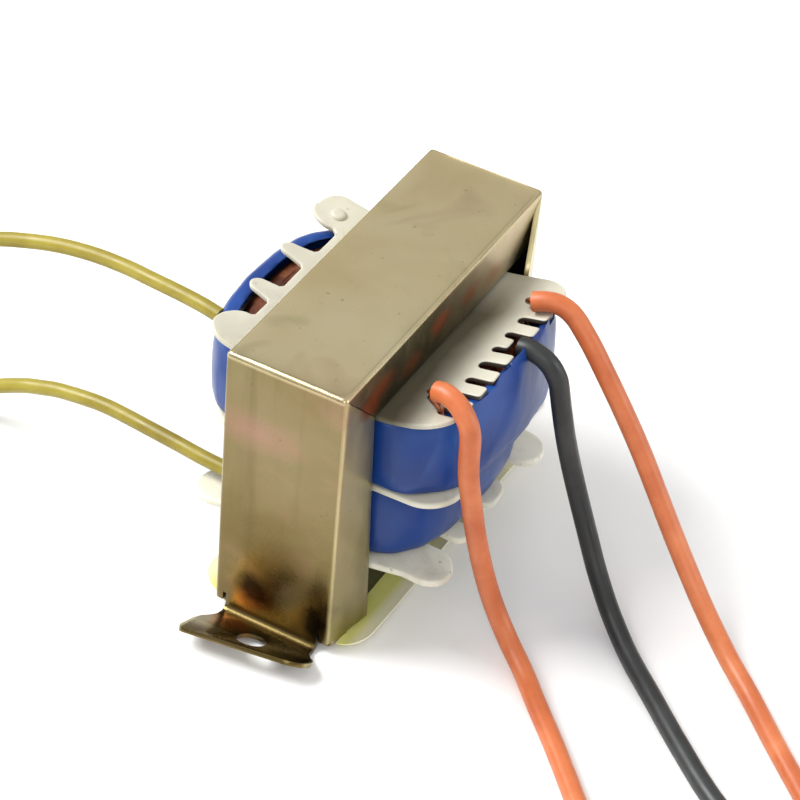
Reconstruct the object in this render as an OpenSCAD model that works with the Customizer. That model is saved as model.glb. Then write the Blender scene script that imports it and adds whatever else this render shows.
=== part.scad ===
// Small chassis-mount mains transformer: an E and I lamination core on a
// two-section bobbin, held by a folded sheet-steel strap with two ears, with
// five flexible leads. X runs along the strap, Z is up, Z = 0 is the
// underside of the ears.

/* [Core] */
// Length of an E or I lamination along X
core_l = 41; // [40.6:0.1:41]
// Height of the E, yoke and legs together
e_h = 27; // [26.5:0.1:27]
// Width of the yoke, the outer legs and the I bar
limb = 6; // [5.6:0.1:6]
// Width of the centre leg
centre_leg = 13; // [12:0.1:13]
// Thickness of one lamination
lam_t = 0.49; // [0.35:0.01:0.5]
// Number of laminations in the stack
lam_n = 25; // [15:2:25]

/* [Strap frame] */
// Sheet thickness of the strap
strap_t = 0.5; // [0.4:0.05:0.5]
// Depth of the folded side flanges
side_d = 6.3; // [4.5:0.1:6.3]
// Angle at which the far leg's front flange stands off the core
far_spring = 19.5; // [0:0.5:24]
// How far the near leg's flanges flare out at their lower end
near_flare = 1.1; // [0:0.1:1.3]
// Distance between the two ear holes
hole_spacing = 50; // [49:0.5:51]
// Diameter of the ear holes
hole_d = 3.2; // [2.6:0.1:3.6]

/* [Bobbin] */
// Rise of the top flange's overhangs, in degrees
top_splay = 12.4; // [0:0.2:14]
// Fall of the bottom flange's overhangs, in degrees
low_splay = 5.2; // [0:0.2:8]
// Width of the slots in the front comb
slot_w = 1.05; // [0.8:0.05:1.4]
// Depth of the upper winding, centre to outside
upper_hy = 15; // [14:0.1:15]
// Depth of the lower winding, centre to outside
lower_hy = 12.4; // [11.5:0.1:13]

/* [Leads] */
// Diameter of the orange and black leads
lead_d = 2.2; // [1.8:0.1:2.2]
// Diameter of the yellow leads
thin_d = 1.7; // [1.4:0.1:1.7]
// Length of the tinned end of each lead
bare_l = 6; // [4:0.5:6.5]
// Thickness of the ties around the coiled leads
tie_t = 0.28; // [0.2:0.02:0.28]

/* [Hidden] */

z0 = 1.0;                    // underside of the core
z_top = z0 + e_h + limb;     // top of the core
lam_p = 0.51;                // pitch of the stack, with its air gap
out_x = 21.1;                // outer face of the strap's legs
out_y = 6.9;                 // outer face of the side flanges
top_z = 34.55;               // outer face of the strap's top
hole_x = hole_spacing / 2;
coil_z = 0.3;                // the coils lie on their ties
bob_lo = 7.1;                // underside of the bobbin
bob_hi = 27.9;               // top of the bobbin
rim = 1.0;                   // thickness of the bobbin's flanges

// points on an arc
function arc(c, r, a0, a1, n = 8) =
  [for (i = [0:n]) let (a = a0 + (a1 - a0) * i / n) c + r * [cos(a), sin(a)]];
// rounded block outline for the windings
function pad(hx, hy, p = 2.8, m = 48) =
  [for (i = [0:m - 1]) let (a = 360 * i / m, c = cos(a), s = sin(a))
    [hx * sign(c) * pow(abs(c), 2 / p), hy * sign(s) * pow(abs(s), 2 / p)]];
function unit(v) = v / norm(v);

// ---- core ----------------------------------------------------------------
module e_plate(up) {
  // E with its yoke at the bottom, or at the top when up is true
  window_w = (core_l - centre_leg) / 2 - limb;
  flip = up ? 1 : 0;
  translate([0, 0, up ? z_top : z0]) mirror([0, 0, flip])
    rotate([90, 0, 0]) linear_extrude(lam_t, center = true)
      difference() {
        translate([-core_l / 2, 0]) square([core_l, e_h]);
        for (s = [-1, 1])
          translate([s * (centre_leg / 2 + window_w / 2) - window_w / 2, limb])
            square([window_w, e_h]);
      }
}
module i_plate(up) {
  translate([-core_l / 2, -lam_t / 2, up ? z0 : z_top - limb + 0.02])
    cube([core_l, lam_t, limb - 0.02]);
}
module e_laminations() {
  color([0.16, 0.13, 0.14])
    for (i = [0:lam_n - 1])
      translate([0, (i - (lam_n - 1) / 2) * lam_p, 0]) e_plate(i % 2 == 0);
}
module i_laminations() {
  color([0.2, 0.17, 0.17])
    for (i = [0:lam_n - 1])
      translate([0, (i - (lam_n - 1) / 2) * lam_p, (i % 2 == 0) ? -0.02 : 0])
        i_plate(i % 2 == 0);
}

// ---- strap frame ----------------------------------------------------------
// leg channel outline in X and Y: web at x = -out_x, flanges cut at x = -cut
module leg_outline(cut) {
  r = 0.62; t = strap_t;
  polygon(concat(
    [[-cut, out_y]],
    arc([-out_x + r, out_y - r], r, 90, 180),
    arc([-out_x + r, -out_y + r], r, 180, 270),
    [[-cut, -out_y], [-cut, -out_y + t]],
    arc([-out_x + r, -out_y + r], r - t, 270, 180),
    arc([-out_x + r, out_y - r], r - t, 180, 90),
    [[-cut, out_y - t]]));
}
// top channel outline in Y and Z
module top_outline() {
  r = 0.62; t = strap_t; b = top_z - side_d;
  polygon(concat(
    [[out_y, b]],
    arc([out_y - r, top_z - r], r, 0, 90),
    arc([-out_y + r, top_z - r], r, 90, 180),
    [[-out_y, b], [-out_y + t, b]],
    arc([-out_y + r, top_z - r], r - t, 180, 90),
    arc([out_y - r, top_z - r], r - t, 90, 0),
    [[out_y - t, b]]));
}
// flange of the near leg, flared towards its lower end; side is +1 or -1
module flared(side) {
  x0 = -out_x + 0.78; x1 = -out_x + side_d;
  a = side * out_y; b = side * (out_y - strap_t); f = side * near_flare;
  zb = 1.3; zt = top_z - side_d - 0.1; zh = top_z - 0.95;
  p = [[x0, a, zb], [x1, a + f, zb], [x1, a, zt], [x0, a, zh],
       [x0, b, zb], [x1, b + f, zb], [x1, b, zt], [x0, b, zh]];
  q = [[0, 1, 2], [0, 2, 3], [4, 6, 5], [4, 7, 6], [0, 5, 1], [0, 4, 5],
       [1, 6, 2], [1, 5, 6], [2, 7, 3], [2, 6, 7], [3, 4, 0], [3, 7, 4]];
  polyhedron(points = p, faces = side > 0 ? q : [for (t = q) [t[0], t[2], t[1]]]);
}
// tab folded under the core at the foot of a leg flange
module crimp_tab(side) {
  r = 0.35; t = strap_t;
  for (w = [0])
    translate([-out_x + 0.3, 0, 0]) {
      translate([0, side > 0 ? 4.6 : -6.05, 0.25]) cube([2.8, 1.45, t]);
      translate([0, side * 6.05, 1.1]) rotate([90, 0, 90])
        rotate([0, 0, side > 0 ? -90 : 180])
          rotate_extrude(angle = 90, $fn = 32) translate([r, 0]) square([t, 2.8]);
      translate([0, side > 0 ? out_y - t : -out_y, 1.09]) cube([2.8, t, 0.3]);
    }
}
module ear() {
  difference() {
    translate([0, 0, 0]) linear_extrude(strap_t)
      polygon(concat(
        [[-21.8, 5.5], [-22.6, 5.6], [-23.4, 6.1], [-24.2, 6.7], [-25.2, 7.0]],
        arc([-27.5, 6.3], 0.8, 90, 185, 5),
        arc([-24.5, -4.4], 2.6, 187, 270, 7),
        [[-23.8, -6.8], [-23.2, -6.1], [-22.5, -5.6], [-21.8, -5.5]]));
    translate([-hole_x, 0, -1]) cylinder(h = 3, d = hole_d, $fn = 48);
  }
  // bend up into the leg
  translate([-out_x - 0.7, 5.5, 1.2]) rotate([90, 0, 0])
    rotate([0, 0, -90]) rotate_extrude(angle = 90, $fn = 48)
      translate([0.7, 0]) square([strap_t, 11]);
  translate([-out_x, -5.5, 1.19]) cube([strap_t, 11, 1.4]);
}
module frame() {
  color([0.72, 0.66, 0.5]) difference() {
    intersection() {
      union() {
        // near leg
        translate([0, 0, 2.4]) linear_extrude(top_z - 2.4) leg_outline(out_x - 0.82);
        for (s = [-1, 1]) {
          flared(s);
          translate([0, 0, 1.3]) linear_extrude(1.2) intersection() {
            leg_outline(out_x - 0.82);
            translate([-out_x, s > 0 ? 5.9 : -7]) square([2, 1.1]);
          }
          crimp_tab(s);
          mirror([1, 0, 0]) crimp_tab(s);
        }
        ear();
        // far leg: plain back flange, front flange standing off the core
        mirror([1, 0, 0]) {
          translate([0, 0, 2.4]) linear_extrude(top_z - 2.4) leg_outline(out_x - 0.82);
          translate([-out_x + 0.78, out_y - strap_t, 1.3]) cube([side_d - 0.78, strap_t, top_z - side_d + 4]);
          translate([0, 0, 1.3]) linear_extrude(1.2) intersection() {
            leg_outline(out_x - 0.82);
            union() {
              translate([-out_x, 5.9]) square([2, 1.1]);
              translate([-out_x, -7]) square([2, 1.1]);
            }
          }
          translate([-out_x + 0.82, -out_y + strap_t / 2, 0]) {
            translate([0, 0, 1.3]) cylinder(h = top_z - 2.3, d = strap_t, $fn = 24);
            rotate([0, 0, -far_spring]) difference() {
              translate([0, -strap_t / 2, 1.3]) cube([side_d - 0.82, strap_t, top_z - 2.3]);
              translate([0, -2, top_z - 0.95]) rotate([0, 45, 0]) cube([14, 4, 14]);
            }
          }
        }
        mirror([1, 0, 0]) mirror([0, 1, 0]) ear();
        // top
        translate([-out_x, 0, 0]) rotate([90, 0, 90]) linear_extrude(2 * out_x) top_outline();
      }
      // rounded ends over the top of the legs
      translate([0, 20, 0]) rotate([90, 0, 0]) linear_extrude(40)
        polygon(concat([[-30, -1], [30, -1], [30, 3], [out_x, 3]],
          arc([out_x - 0.9, top_z - 0.9], 0.9, 0, 90), arc([-out_x + 0.9, top_z - 0.9], 0.9, 90, 180),
          [[-out_x, 3], [-30, 3]]));
    }
    // mitred seams in the side flanges
    for (s = [-1, 1])
      translate([-out_x + 0.85, s * 6.65, top_z - 0.85]) rotate([0, 45, 0])
        translate([0, -0.45, -0.06]) cube([12, 0.9, 0.12]);
    translate([out_x - 0.85, 6.65, top_z - 0.85]) rotate([0, 135, 0])
      translate([0, -0.45, -0.06]) cube([12, 0.9, 0.12]);
    // the front flange of the top stops short of the far leg
    translate([out_x - 0.9, -out_y - 0.1, top_z - side_d - 0.1]) cube([1.2, 0.62, side_d - 0.8]);
  }
}

// ---- bobbin ---------------------------------------------------------------
module tongue(x0, x1, y0, y1, r) {
  // rounded finger from y0 out to y1; y1 may lie on either side
  s = y1 > y0 ? 1 : -1;
  polygon(concat([[x0, y0]], arc([x0 + r, y1 - s * r], r, 180, 180 - s * 90),
    arc([x1 - r, y1 - s * r], r, s * 90, 0), [[x1, y0]]));
}
// tilts an overhang about the strap's edge line; side is +1 or -1
module splay(side, z, a) {
  translate([0, side * out_y, z]) rotate([side * a, 0, 0]) translate([0, -side * out_y, 0])
    linear_extrude(rim) children();
}
module comb() {
  difference() {
    polygon(concat([[14.2, -6.3]], arc([10.8, -11.2], 3.7, 0, -90, 10),
      arc([-9.6, -10.3], 4.5, -90, -180, 10), [[-14.2, -6.3]]));
    for (i = [0:7]) translate([-10.9 + 2.9 * i - slot_w / 2, -16.6]) square([slot_w, 4.6]);
    // tooth cut back where the middle lead comes up
    translate([1.1, -16.6]) square([2.1, 3.5]);
  }
}
module rear_fingers() {
  translate([-13.8, 6.3]) square([27.8, 4.9]);
  tongue(-13.6, -8.2, 7, 13.8, 2.4);
  tongue(-6.1, -2.9, 7, 13.5, 1.5);
  tongue(1.1, 4.2, 7, 14.2, 1.5);
  tongue(7.2, 14.4, 7, 14.8, 3.0);
}
module low_fingers(side) {
  translate([-14.2, side > 0 ? 6.3 : -10.8]) square([28.4, 4.5]);
  tongue(-14.7, -8.9, side * 7, side * 14.6, 2.6);
  tongue(-5.7, -2.9, side * 7, side * 13.9, 1.3);
  tongue(0.9, 5.2, side * 7, side * 13.8, 1.6);
  tongue(8.9, 14.2, side * 7, side * 14.5, 2.4);
}
module middle_flange() {
  polygon(concat(arc([7.9, 8.6], 6.0, 0, 90, 10), arc([-7.9, 8.6], 6.0, 90, 180, 10),
    arc([-9.6, -10.5], 4.4, 180, 270, 10), arc([9.6, -10.5], 4.4, 270, 360, 10)));
}
module bobbin() {
  color([0.88, 0.87, 0.82]) difference() {
    union() {
      translate([-7.6, -7.5, bob_lo]) cube([15.2, 15.0, bob_hi - bob_lo]);
      for (z = [bob_lo, bob_hi - rim]) translate([-14.2, -7.3, z]) cube([28.4, 14.6, rim]);
      translate([0, 0, 17]) linear_extrude(rim) middle_flange();
      splay(-1, bob_hi - rim, top_splay) comb();
      splay(1, bob_hi - rim, top_splay) rear_fingers();
      for (s = [-1, 1]) splay(s, bob_lo, -low_splay) low_fingers(s);
      // raised pad on the far rear finger
      splay(1, bob_hi - rim, top_splay) translate([11.3, 12.4]) circle(d = 1.5, $fn = 32);
      translate([0, out_y, bob_hi - rim]) rotate([top_splay, 0, 0]) translate([11.3, 12.4 - out_y, 0])
        cylinder(h = rim + 0.5, d = 1.5, $fn = 32);
    }
    translate([-6.7, -6.6, 0]) cube([13.4, 13.2, 40]);
  }
}

// ---- windings, tape and film ----------------------------------------------
module wound(z, h, hx, hy) {
  translate([0, 0, z]) difference() {
    linear_extrude(h) polygon(pad(hx, hy));
    translate([-7.65, -7.55, -1]) cube([15.3, 15.1, h + 2]);
  }
}
module wrap(z, h, hx, hy) {
  translate([0, 0, z]) difference() {
    linear_extrude(h) polygon(pad(hx + 0.4, hy + 0.4));
    translate([0, 0, -1]) linear_extrude(h + 2) polygon(pad(hx + 0.05, hy + 0.05));
  }
}
module lower_winding() { color([0.55, 0.3, 0.2]) wound(8.15, 8.8, 13.3, lower_hy); }
module upper_winding() { color([0.55, 0.3, 0.2]) wound(18.05, 8.65, 13.4, upper_hy); }
module lower_tape() { color([0.15, 0.27, 0.55]) wrap(8.2, 8.7, 13.3, lower_hy); }
module upper_tape() { color([0.15, 0.27, 0.55]) wrap(18.1, 8.3, 13.4, upper_hy); }
module base_film() {
  color([0.85, 0.85, 0.5]) translate([0, 0, 0.78]) linear_extrude(0.2) difference() {
    polygon(concat(arc([16.8, 6.8], 3.2, 0, 90, 8), arc([-16.8, 6.8], 3.2, 90, 180, 8),
      arc([-16.8, -6.8], 3.2, 180, 270, 8), arc([16.8, -6.8], 3.2, 270, 360, 8)));
    for (sx = [-1, 1], sy = [-1, 1])
      translate([sx * 19.4 - 1.6, sy * 6.45 - 0.5]) square([3.2, 1.0]);
  }
}

// ---- leads ----------------------------------------------------------------
// round tube swept along p, with 8 sides; its last ring is square to end_v
module tube(p, d, end_v) {
  n = len(p); m = 8;
  pts = [for (i = [0:n - 1])
    let (t = i == n - 1 ? end_v : unit(p[i + 1] - p[max(i - 1, 0)]),
         u = unit(cross(t, [1, 0, 0])), v = cross(t, u))
    for (j = [0:m - 1]) p[i] + d / 2 * (cos(360 * j / m) * u + sin(360 * j / m) * v)];
  side = [for (i = [0:n - 2], j = [0:m - 1])
    let (a = i * m + j, b = i * m + (j + 1) % m) each [[a, a + m, b + m], [a, b + m, b]]];
  polyhedron(points = pts,
    faces = concat(side, [[for (j = [0:m - 1]) j], [for (j = [m - 1:-1:0]) (n - 1) * m + j]]));
}
// a rod from a along direction v
module rod(a, v, l, d) {
  w = unit(v);
  translate(a) rotate([0, acos(w[2]), atan2(w[1], w[0])]) cylinder(h = l, d = d, $fn = 32);
}
// A lead's coil: c its centre, a the angle where the lead joins it, s +1 or
// -1 for its sense, turns how far it goes round. Its ring spans two strands.
function coil_r(d) = d > 2 ? 12.1 : 10.2;
function join_l(d) = d > 2 ? 7.5 : 6.1;
function rad(a) = [cos(a), sin(a), 0];
function tan_v(a, s) = s * [-sin(a), cos(a), 0];
function tail_at(c, a, s, turns, d) =
  [c[0], c[1], coil_z + d / 2] + (coil_r(d) - d) * rad(a + s * 360 * turns);
function tail_v(a, s, turns) =
  let (e = a + s * 360 * turns) cos(55) * tan_v(e, s) - sin(55) * rad(e);
module coil(c, a, s, turns, d) {
  r = coil_r(d);
  t = tan_v(a, s); j = r * rad(a);
  e = tail_at(c, a, s, turns, d) - [c[0], c[1], 0]; v = tail_v(a, s, turns);
  translate([c[0], c[1], coil_z]) linear_extrude(d) {
    difference() {
      circle(r + d / 2, $fn = 96);
      circle(r - 1.5 * d, $fn = 96);
    }
    translate([j[0], j[1]]) rotate(atan2(t[1], t[0])) translate([-join_l(d), -d / 2]) square([join_l(d), d]);
    translate([e[0], e[1]]) rotate(atan2(v[1], v[0])) translate([0, -d / 2]) square([5.2, d]);
  }
}
module bare_end(c, a, s, turns, d) {
  rod(tail_at(c, a, s, turns, d) + 5.2 * tail_v(a, s, turns), tail_v(a, s, turns), bare_l, d * 0.45);
}
module tie(c, a, s, turns, d) {
  r = coil_r(d); w = d > 2 ? 12 : 14; g = 0.02;
  m = a + s * 180 * (turns - 1);
  translate([c[0], c[1], 0]) rotate([0, 0, m - w / 2]) rotate_extrude(angle = w, $fn = 96)
    difference() {
      translate([r - 1.5 * d - tie_t - g, 0]) square([2 * d + 2 * tie_t + 2 * g, d + coil_z + tie_t + g]);
      translate([r - 1.5 * d - g, coil_z - g]) square([2 * d + 2 * g, d + 2 * g]);
    }
}

// routes, from where each lead leaves the bobbin or the tape
orange_1_route = [[-10.7, -11.5, 30.9], [-10.9, -12.5, 31.2], [-11.15, -13.5, 31.15],
  [-11.4, -14.4, 30.8], [-11.65, -15.2, 30.15], [-11.8, -15.8, 29.35], [-11.9, -16.15, 28.4],
  [-11.95, -16.3, 27.3], [-11.95, -16.35, 25.5], [-11.9, -16.5, 23], [-11.6, -17, 19.5],
  [-11.1, -17.7, 15], [-10.5, -18.7, 10.2], [-10.2, -20.1, 6], [-10.9, -22.5, 2.7],
  [-13.2, -25.8, 1.3], [-16.6, -29.2, 1.1], [-20.4, -33, 1.1], [-24.2, -36.6, 1.1],
  [-28, -40.1, 1.2]];
black_route = [[2.4, -14.3, 29], [2.4, -15.3, 29.15], [2.4, -16.3, 29], [2.45, -17.2, 28.6],
  [2.5, -17.95, 27.95], [2.6, -18.5, 27.1], [2.8, -18.85, 26.1], [3.05, -19.1, 24.4],
  [3.35, -19.5, 21.9], [3.6, -20.1, 18.9], [3.7, -21.1, 15.4], [3.4, -22.5, 12],
  [2.5, -24.4, 8.6], [1, -26.9, 4.9], [-1.4, -30, 2.4], [-4.8, -33.9, 1.2],
  [-8.9, -38.6, 1.1], [-13.3, -43.6, 1.1], [-18.4, -49.9, 1.1], [-23.2, -57.7, 1.2]];
orange_2_route = [[8.3, -12.6, 30.3], [8.6, -13.8, 30.65], [8.9, -15, 30.7], [9, -16.2, 30.4],
  [9, -17.3, 29.7], [8.8, -18.5, 28.6], [8.5, -19.9, 27.2], [8.1, -21.8, 25],
  [7.6, -24.4, 21.8], [7, -27, 18.5], [6.1, -29.9, 14.7], [5, -32.9, 10.9], [3.6, -36, 7.6],
  [2, -39.2, 4.7], [-0.2, -43, 2.3], [-3.3, -47.2, 1.2], [-7.9, -52, 1.1],
  [-12.4, -56.8, 1.1], [-17, -61.6, 1.2]];
yellow_1_route = [[-7.6, 15.5, 26.2], [-7.2, 18, 26.3], [-6.5, 21.3, 26],
  [-5.8, 25, 25.6], [-5.1, 28.8, 25.2], [-4.6, 33.3, 24.6], [-4.5, 37.8, 23.8],
  [-4.8, 42, 22.8], [-5.1, 46, 21.4], [-5.3, 50, 18.7], [-5.5, 52.8, 14.8],
  [-5.6, 54.4, 10], [-5.7, 56.3, 5.6], [-5.9, 59, 2.3]];
yellow_2_route = [[-11.6, 10, 9.6], [-11.3, 14.6, 9.6], [-10.9, 18, 9.6],
  [-10.3, 22, 9.4], [-9.7, 26.2, 9.2], [-9.4, 30.4, 8.9], [-9.4, 34.6, 8.3],
  [-9.7, 38.8, 7.2], [-9.9, 42.6, 5.4], [-10.2, 46, 2.9]];
// coils: centre, joining angle, sense, turns
orange_1_coil = [[-45.5, -40.4], -45, -1, 1.36];
black_coil = [[-42, -67.5], -28, -1, 1.13];
orange_2_coil = [[-17.9, -80.3], 137, 1, 1.18];
yellow_1_coil = [[4.2, 68], 180, -1, 1.55];
yellow_2_coil = [[-20.7, 55], 0, 1, 1.86];
function joined(route, k, d) = concat(route,
  [[k[0][0], k[0][1], coil_z + d / 2] + coil_r(d) * rad(k[1]) - (join_l(d) + 0.01) * tan_v(k[1], k[2])]);

orange = [0.86, 0.42, 0.18]; yellow = [0.86, 0.76, 0.2]; black = [0.17, 0.17, 0.18];
tin = [0.75, 0.75, 0.76]; clear = [0.9, 0.9, 0.88];

module lead(route, k, d, c) { color(c) tube(joined(route, k, d), d, tan_v(k[1], k[2])); }
module lead_coil(k, d, c) { color(c) coil(k[0], k[1], k[2], k[3], d); }
module lead_tie(k, d) { color(clear) tie(k[0], k[1], k[2], k[3], d); }
// tinned end at the coil, and the bared strands that start inside the bobbin
module conductor(route, k, d, inner) {
  color(tin) {
    bare_end(k[0], k[1], k[2], k[3], d);
    if (inner) rod(route[0], route[0] - route[1], 0.9, 0.9);
  }
}
module orange_lead_1() { lead(orange_1_route, orange_1_coil, lead_d, orange); }
module orange_lead_1_coil() { lead_coil(orange_1_coil, lead_d, orange); }
module orange_lead_1_conductor() { conductor(orange_1_route, orange_1_coil, lead_d, true); }
module orange_lead_1_tie() { lead_tie(orange_1_coil, lead_d); }
module black_lead() { lead(black_route, black_coil, lead_d, black); }
module black_lead_coil() { lead_coil(black_coil, lead_d, black); }
module black_lead_conductor() { conductor(black_route, black_coil, lead_d, true); }
module black_lead_tie() { lead_tie(black_coil, lead_d); }
module orange_lead_2() { lead(orange_2_route, orange_2_coil, lead_d, orange); }
module orange_lead_2_coil() { lead_coil(orange_2_coil, lead_d, orange); }
module orange_lead_2_conductor() { conductor(orange_2_route, orange_2_coil, lead_d, true); }
module orange_lead_2_tie() { lead_tie(orange_2_coil, lead_d); }
module yellow_lead_1() { lead(yellow_1_route, yellow_1_coil, thin_d, yellow); }
module yellow_lead_1_coil() { lead_coil(yellow_1_coil, thin_d, yellow); }
module yellow_lead_1_conductor() { conductor(yellow_1_route, yellow_1_coil, thin_d, false); }
module yellow_lead_1_tie() { lead_tie(yellow_1_coil, thin_d); }
module yellow_lead_2() { lead(yellow_2_route, yellow_2_coil, thin_d, yellow); }
module yellow_lead_2_coil() { lead_coil(yellow_2_coil, thin_d, yellow); }
module yellow_lead_2_conductor() { conductor(yellow_2_route, yellow_2_coil, thin_d, false); }
module yellow_lead_2_tie() { lead_tie(yellow_2_coil, thin_d); }

frame();
e_laminations();
i_laminations();
bobbin();
lower_winding();
upper_winding();
lower_tape();
upper_tape();
base_film();
orange_lead_1();
orange_lead_1_coil();
orange_lead_1_conductor();
orange_lead_1_tie();
black_lead();
black_lead_coil();
black_lead_conductor();
black_lead_tie();
orange_lead_2();
orange_lead_2_coil();
orange_lead_2_conductor();
orange_lead_2_tie();
yellow_lead_1();
yellow_lead_1_coil();
yellow_lead_1_conductor();
yellow_lead_1_tie();
yellow_lead_2();
yellow_lead_2_coil();
yellow_lead_2_conductor();
yellow_lead_2_tie();
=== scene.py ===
import math
import random

import bmesh
import bpy
from mathutils import Matrix, Vector
from mathutils import noise as mnoise


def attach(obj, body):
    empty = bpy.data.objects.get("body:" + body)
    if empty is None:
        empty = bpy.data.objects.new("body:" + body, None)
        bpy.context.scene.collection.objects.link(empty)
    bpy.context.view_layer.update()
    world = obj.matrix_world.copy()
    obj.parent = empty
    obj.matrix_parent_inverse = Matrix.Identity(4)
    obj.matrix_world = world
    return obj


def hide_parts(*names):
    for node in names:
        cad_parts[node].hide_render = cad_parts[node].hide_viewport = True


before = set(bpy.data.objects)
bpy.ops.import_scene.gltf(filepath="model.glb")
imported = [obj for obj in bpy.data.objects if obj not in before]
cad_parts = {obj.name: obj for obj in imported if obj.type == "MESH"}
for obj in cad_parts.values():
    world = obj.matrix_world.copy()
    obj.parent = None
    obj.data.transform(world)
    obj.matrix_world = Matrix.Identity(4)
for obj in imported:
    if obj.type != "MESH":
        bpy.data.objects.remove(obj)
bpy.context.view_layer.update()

MM = 0.001
random.seed(7)

# ---------------------------------------------------------------------------
# camera
cam_data = bpy.data.cameras.new("camera")
cam = bpy.data.objects.new("camera", cam_data)
bpy.context.scene.collection.objects.link(cam)
cam_data.sensor_width = 36.0
cam_data.lens = 135.0
cam_data.clip_start = 0.01
cam_data.clip_end = 20.0
right = Vector((0.48618573, -0.87088325, 0.07201251))
up = Vector((0.53701382, 0.3627721, 0.76158555))
back = right.cross(up)
m = Matrix((right, up, back)).transposed().to_4x4()
m.translation = Vector((-218.4866, -107.485, 221.9977)) * MM
cam.matrix_world = m
bpy.context.scene.camera = cam

# ---------------------------------------------------------------------------
# node helpers


def new_mat(name):
    mat = bpy.data.materials.new(name)
    mat.use_nodes = True
    nt = mat.node_tree
    for n in list(nt.nodes):
        nt.nodes.remove(n)
    out = nt.nodes.new("ShaderNodeOutputMaterial")
    b = nt.nodes.new("ShaderNodeBsdfPrincipled")
    nt.links.new(b.outputs[0], out.inputs[0])
    return mat, nt, b


def node(nt, kind, **kw):
    n = nt.nodes.new(kind)
    for k, v in kw.items():
        if k in ("inp",):
            for s, val in v.items():
                n.inputs[s].default_value = val
        else:
            setattr(n, k, v)
    return n


def lin(r, g, b):
    """sRGB 0..255 to linear"""
    out = []
    for c in (r, g, b):
        c = c / 255.0
        out.append(c / 12.92 if c <= 0.04045 else ((c + 0.055) / 1.055) ** 2.4)
    return (*out, 1.0)


def coords(nt, scale=(1, 1, 1), loc=(0, 0, 0), rot=(0, 0, 0)):
    tc = node(nt, "ShaderNodeTexCoord")
    mp = node(nt, "ShaderNodeMapping")
    mp.inputs["Scale"].default_value = scale
    mp.inputs["Location"].default_value = loc
    mp.inputs["Rotation"].default_value = rot
    nt.links.new(tc.outputs["Object"], mp.inputs["Vector"])
    return mp.outputs["Vector"]


def noise(nt, vec, scale, detail=4.0, rough=0.55, dist=0.0):
    n = node(nt, "ShaderNodeTexNoise")
    n.inputs["Scale"].default_value = scale
    n.inputs["Detail"].default_value = detail
    n.inputs["Roughness"].default_value = rough
    n.inputs["Distortion"].default_value = dist
    nt.links.new(vec, n.inputs["Vector"])
    return n.outputs["Fac"]


def ramp(nt, fac, stops):
    r = node(nt, "ShaderNodeValToRGB")
    el = r.color_ramp.elements
    while len(el) < len(stops):
        el.new(0.5)
    for e, (p, c) in zip(el, stops):
        e.position = p
        e.color = c if len(c) == 4 else (*c, 1.0)
    nt.links.new(fac, r.inputs["Fac"])
    return r.outputs["Color"]


def rng(nt, fac, a, b, c, d):
    r = node(nt, "ShaderNodeMapRange")
    for k, v in zip(("From Min", "From Max", "To Min", "To Max"), (a, b, c, d)):
        r.inputs[k].default_value = v
    nt.links.new(fac, r.inputs["Value"])
    return r.outputs["Result"]


def mixc(nt, fac, a, b, mode="MIX"):
    mx = node(nt, "ShaderNodeMix", data_type="RGBA", blend_type=mode)
    for s, v in ((0, fac), (6, a), (7, b)):
        if isinstance(v, (int, float)):
            mx.inputs[s].default_value = v
        elif isinstance(v, tuple):
            mx.inputs[s].default_value = v
        else:
            nt.links.new(v, mx.inputs[s])
    return mx.outputs[2]


def mathn(nt, op, a, b=None):
    mn = node(nt, "ShaderNodeMath", operation=op)
    for i, v in enumerate((a, b)):
        if v is None:
            continue
        if isinstance(v, (int, float)):
            mn.inputs[i].default_value = v
        else:
            nt.links.new(v, mn.inputs[i])
    return mn.outputs[0]


def bump(nt, b, height, strength=0.2, dist=0.0001, prev=None):
    bp = node(nt, "ShaderNodeBump")
    bp.inputs["Strength"].default_value = strength
    bp.inputs["Distance"].default_value = dist
    nt.links.new(height, bp.inputs["Height"])
    if prev is not None:
        nt.links.new(prev, bp.inputs["Normal"])
    nt.links.new(bp.outputs["Normal"], b.inputs["Normal"])
    return bp.outputs["Normal"]


# ---------------------------------------------------------------------------
# materials


def jacket(name, base, dark, light, rough=0.38):
    mat, nt, b = new_mat(name)
    v = coords(nt)
    n1 = noise(nt, v, 160.0, 4.0)
    col = ramp(nt, n1, [(0.3, dark), (0.5, base), (0.72, light)])
    speck = noise(nt, v, 1900.0, 2.0)
    col = mixc(nt, rng(nt, speck, 0.62, 0.78, 0.0, 0.35), col, dark)
    nt.links.new(col, b.inputs["Base Color"])
    nt.links.new(rng(nt, noise(nt, v, 420.0), 0.3, 0.7, rough - 0.07, rough + 0.1), b.inputs["Roughness"])
    b.inputs["IOR"].default_value = 1.5
    b.inputs["Subsurface Weight"].default_value = 0.06
    b.inputs["Subsurface Radius"].default_value = (0.0009, 0.0004, 0.0002)
    b.inputs["Subsurface Scale"].default_value = 1.0
    bump(nt, b, noise(nt, v, 2600.0, 3.0), 0.12, 0.00005)
    return mat


M = {}
M["orange"] = jacket("orange_pvc", lin(196, 106, 60), lin(178, 88, 44), lin(210, 124, 78))
M["yellow"] = jacket("yellow_pvc", lin(146, 131, 38), lin(126, 111, 26), lin(162, 149, 56))
M["black"] = jacket("black_pvc", lin(36, 38, 38), lin(26, 28, 28), lin(50, 53, 53), 0.4)


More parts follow.
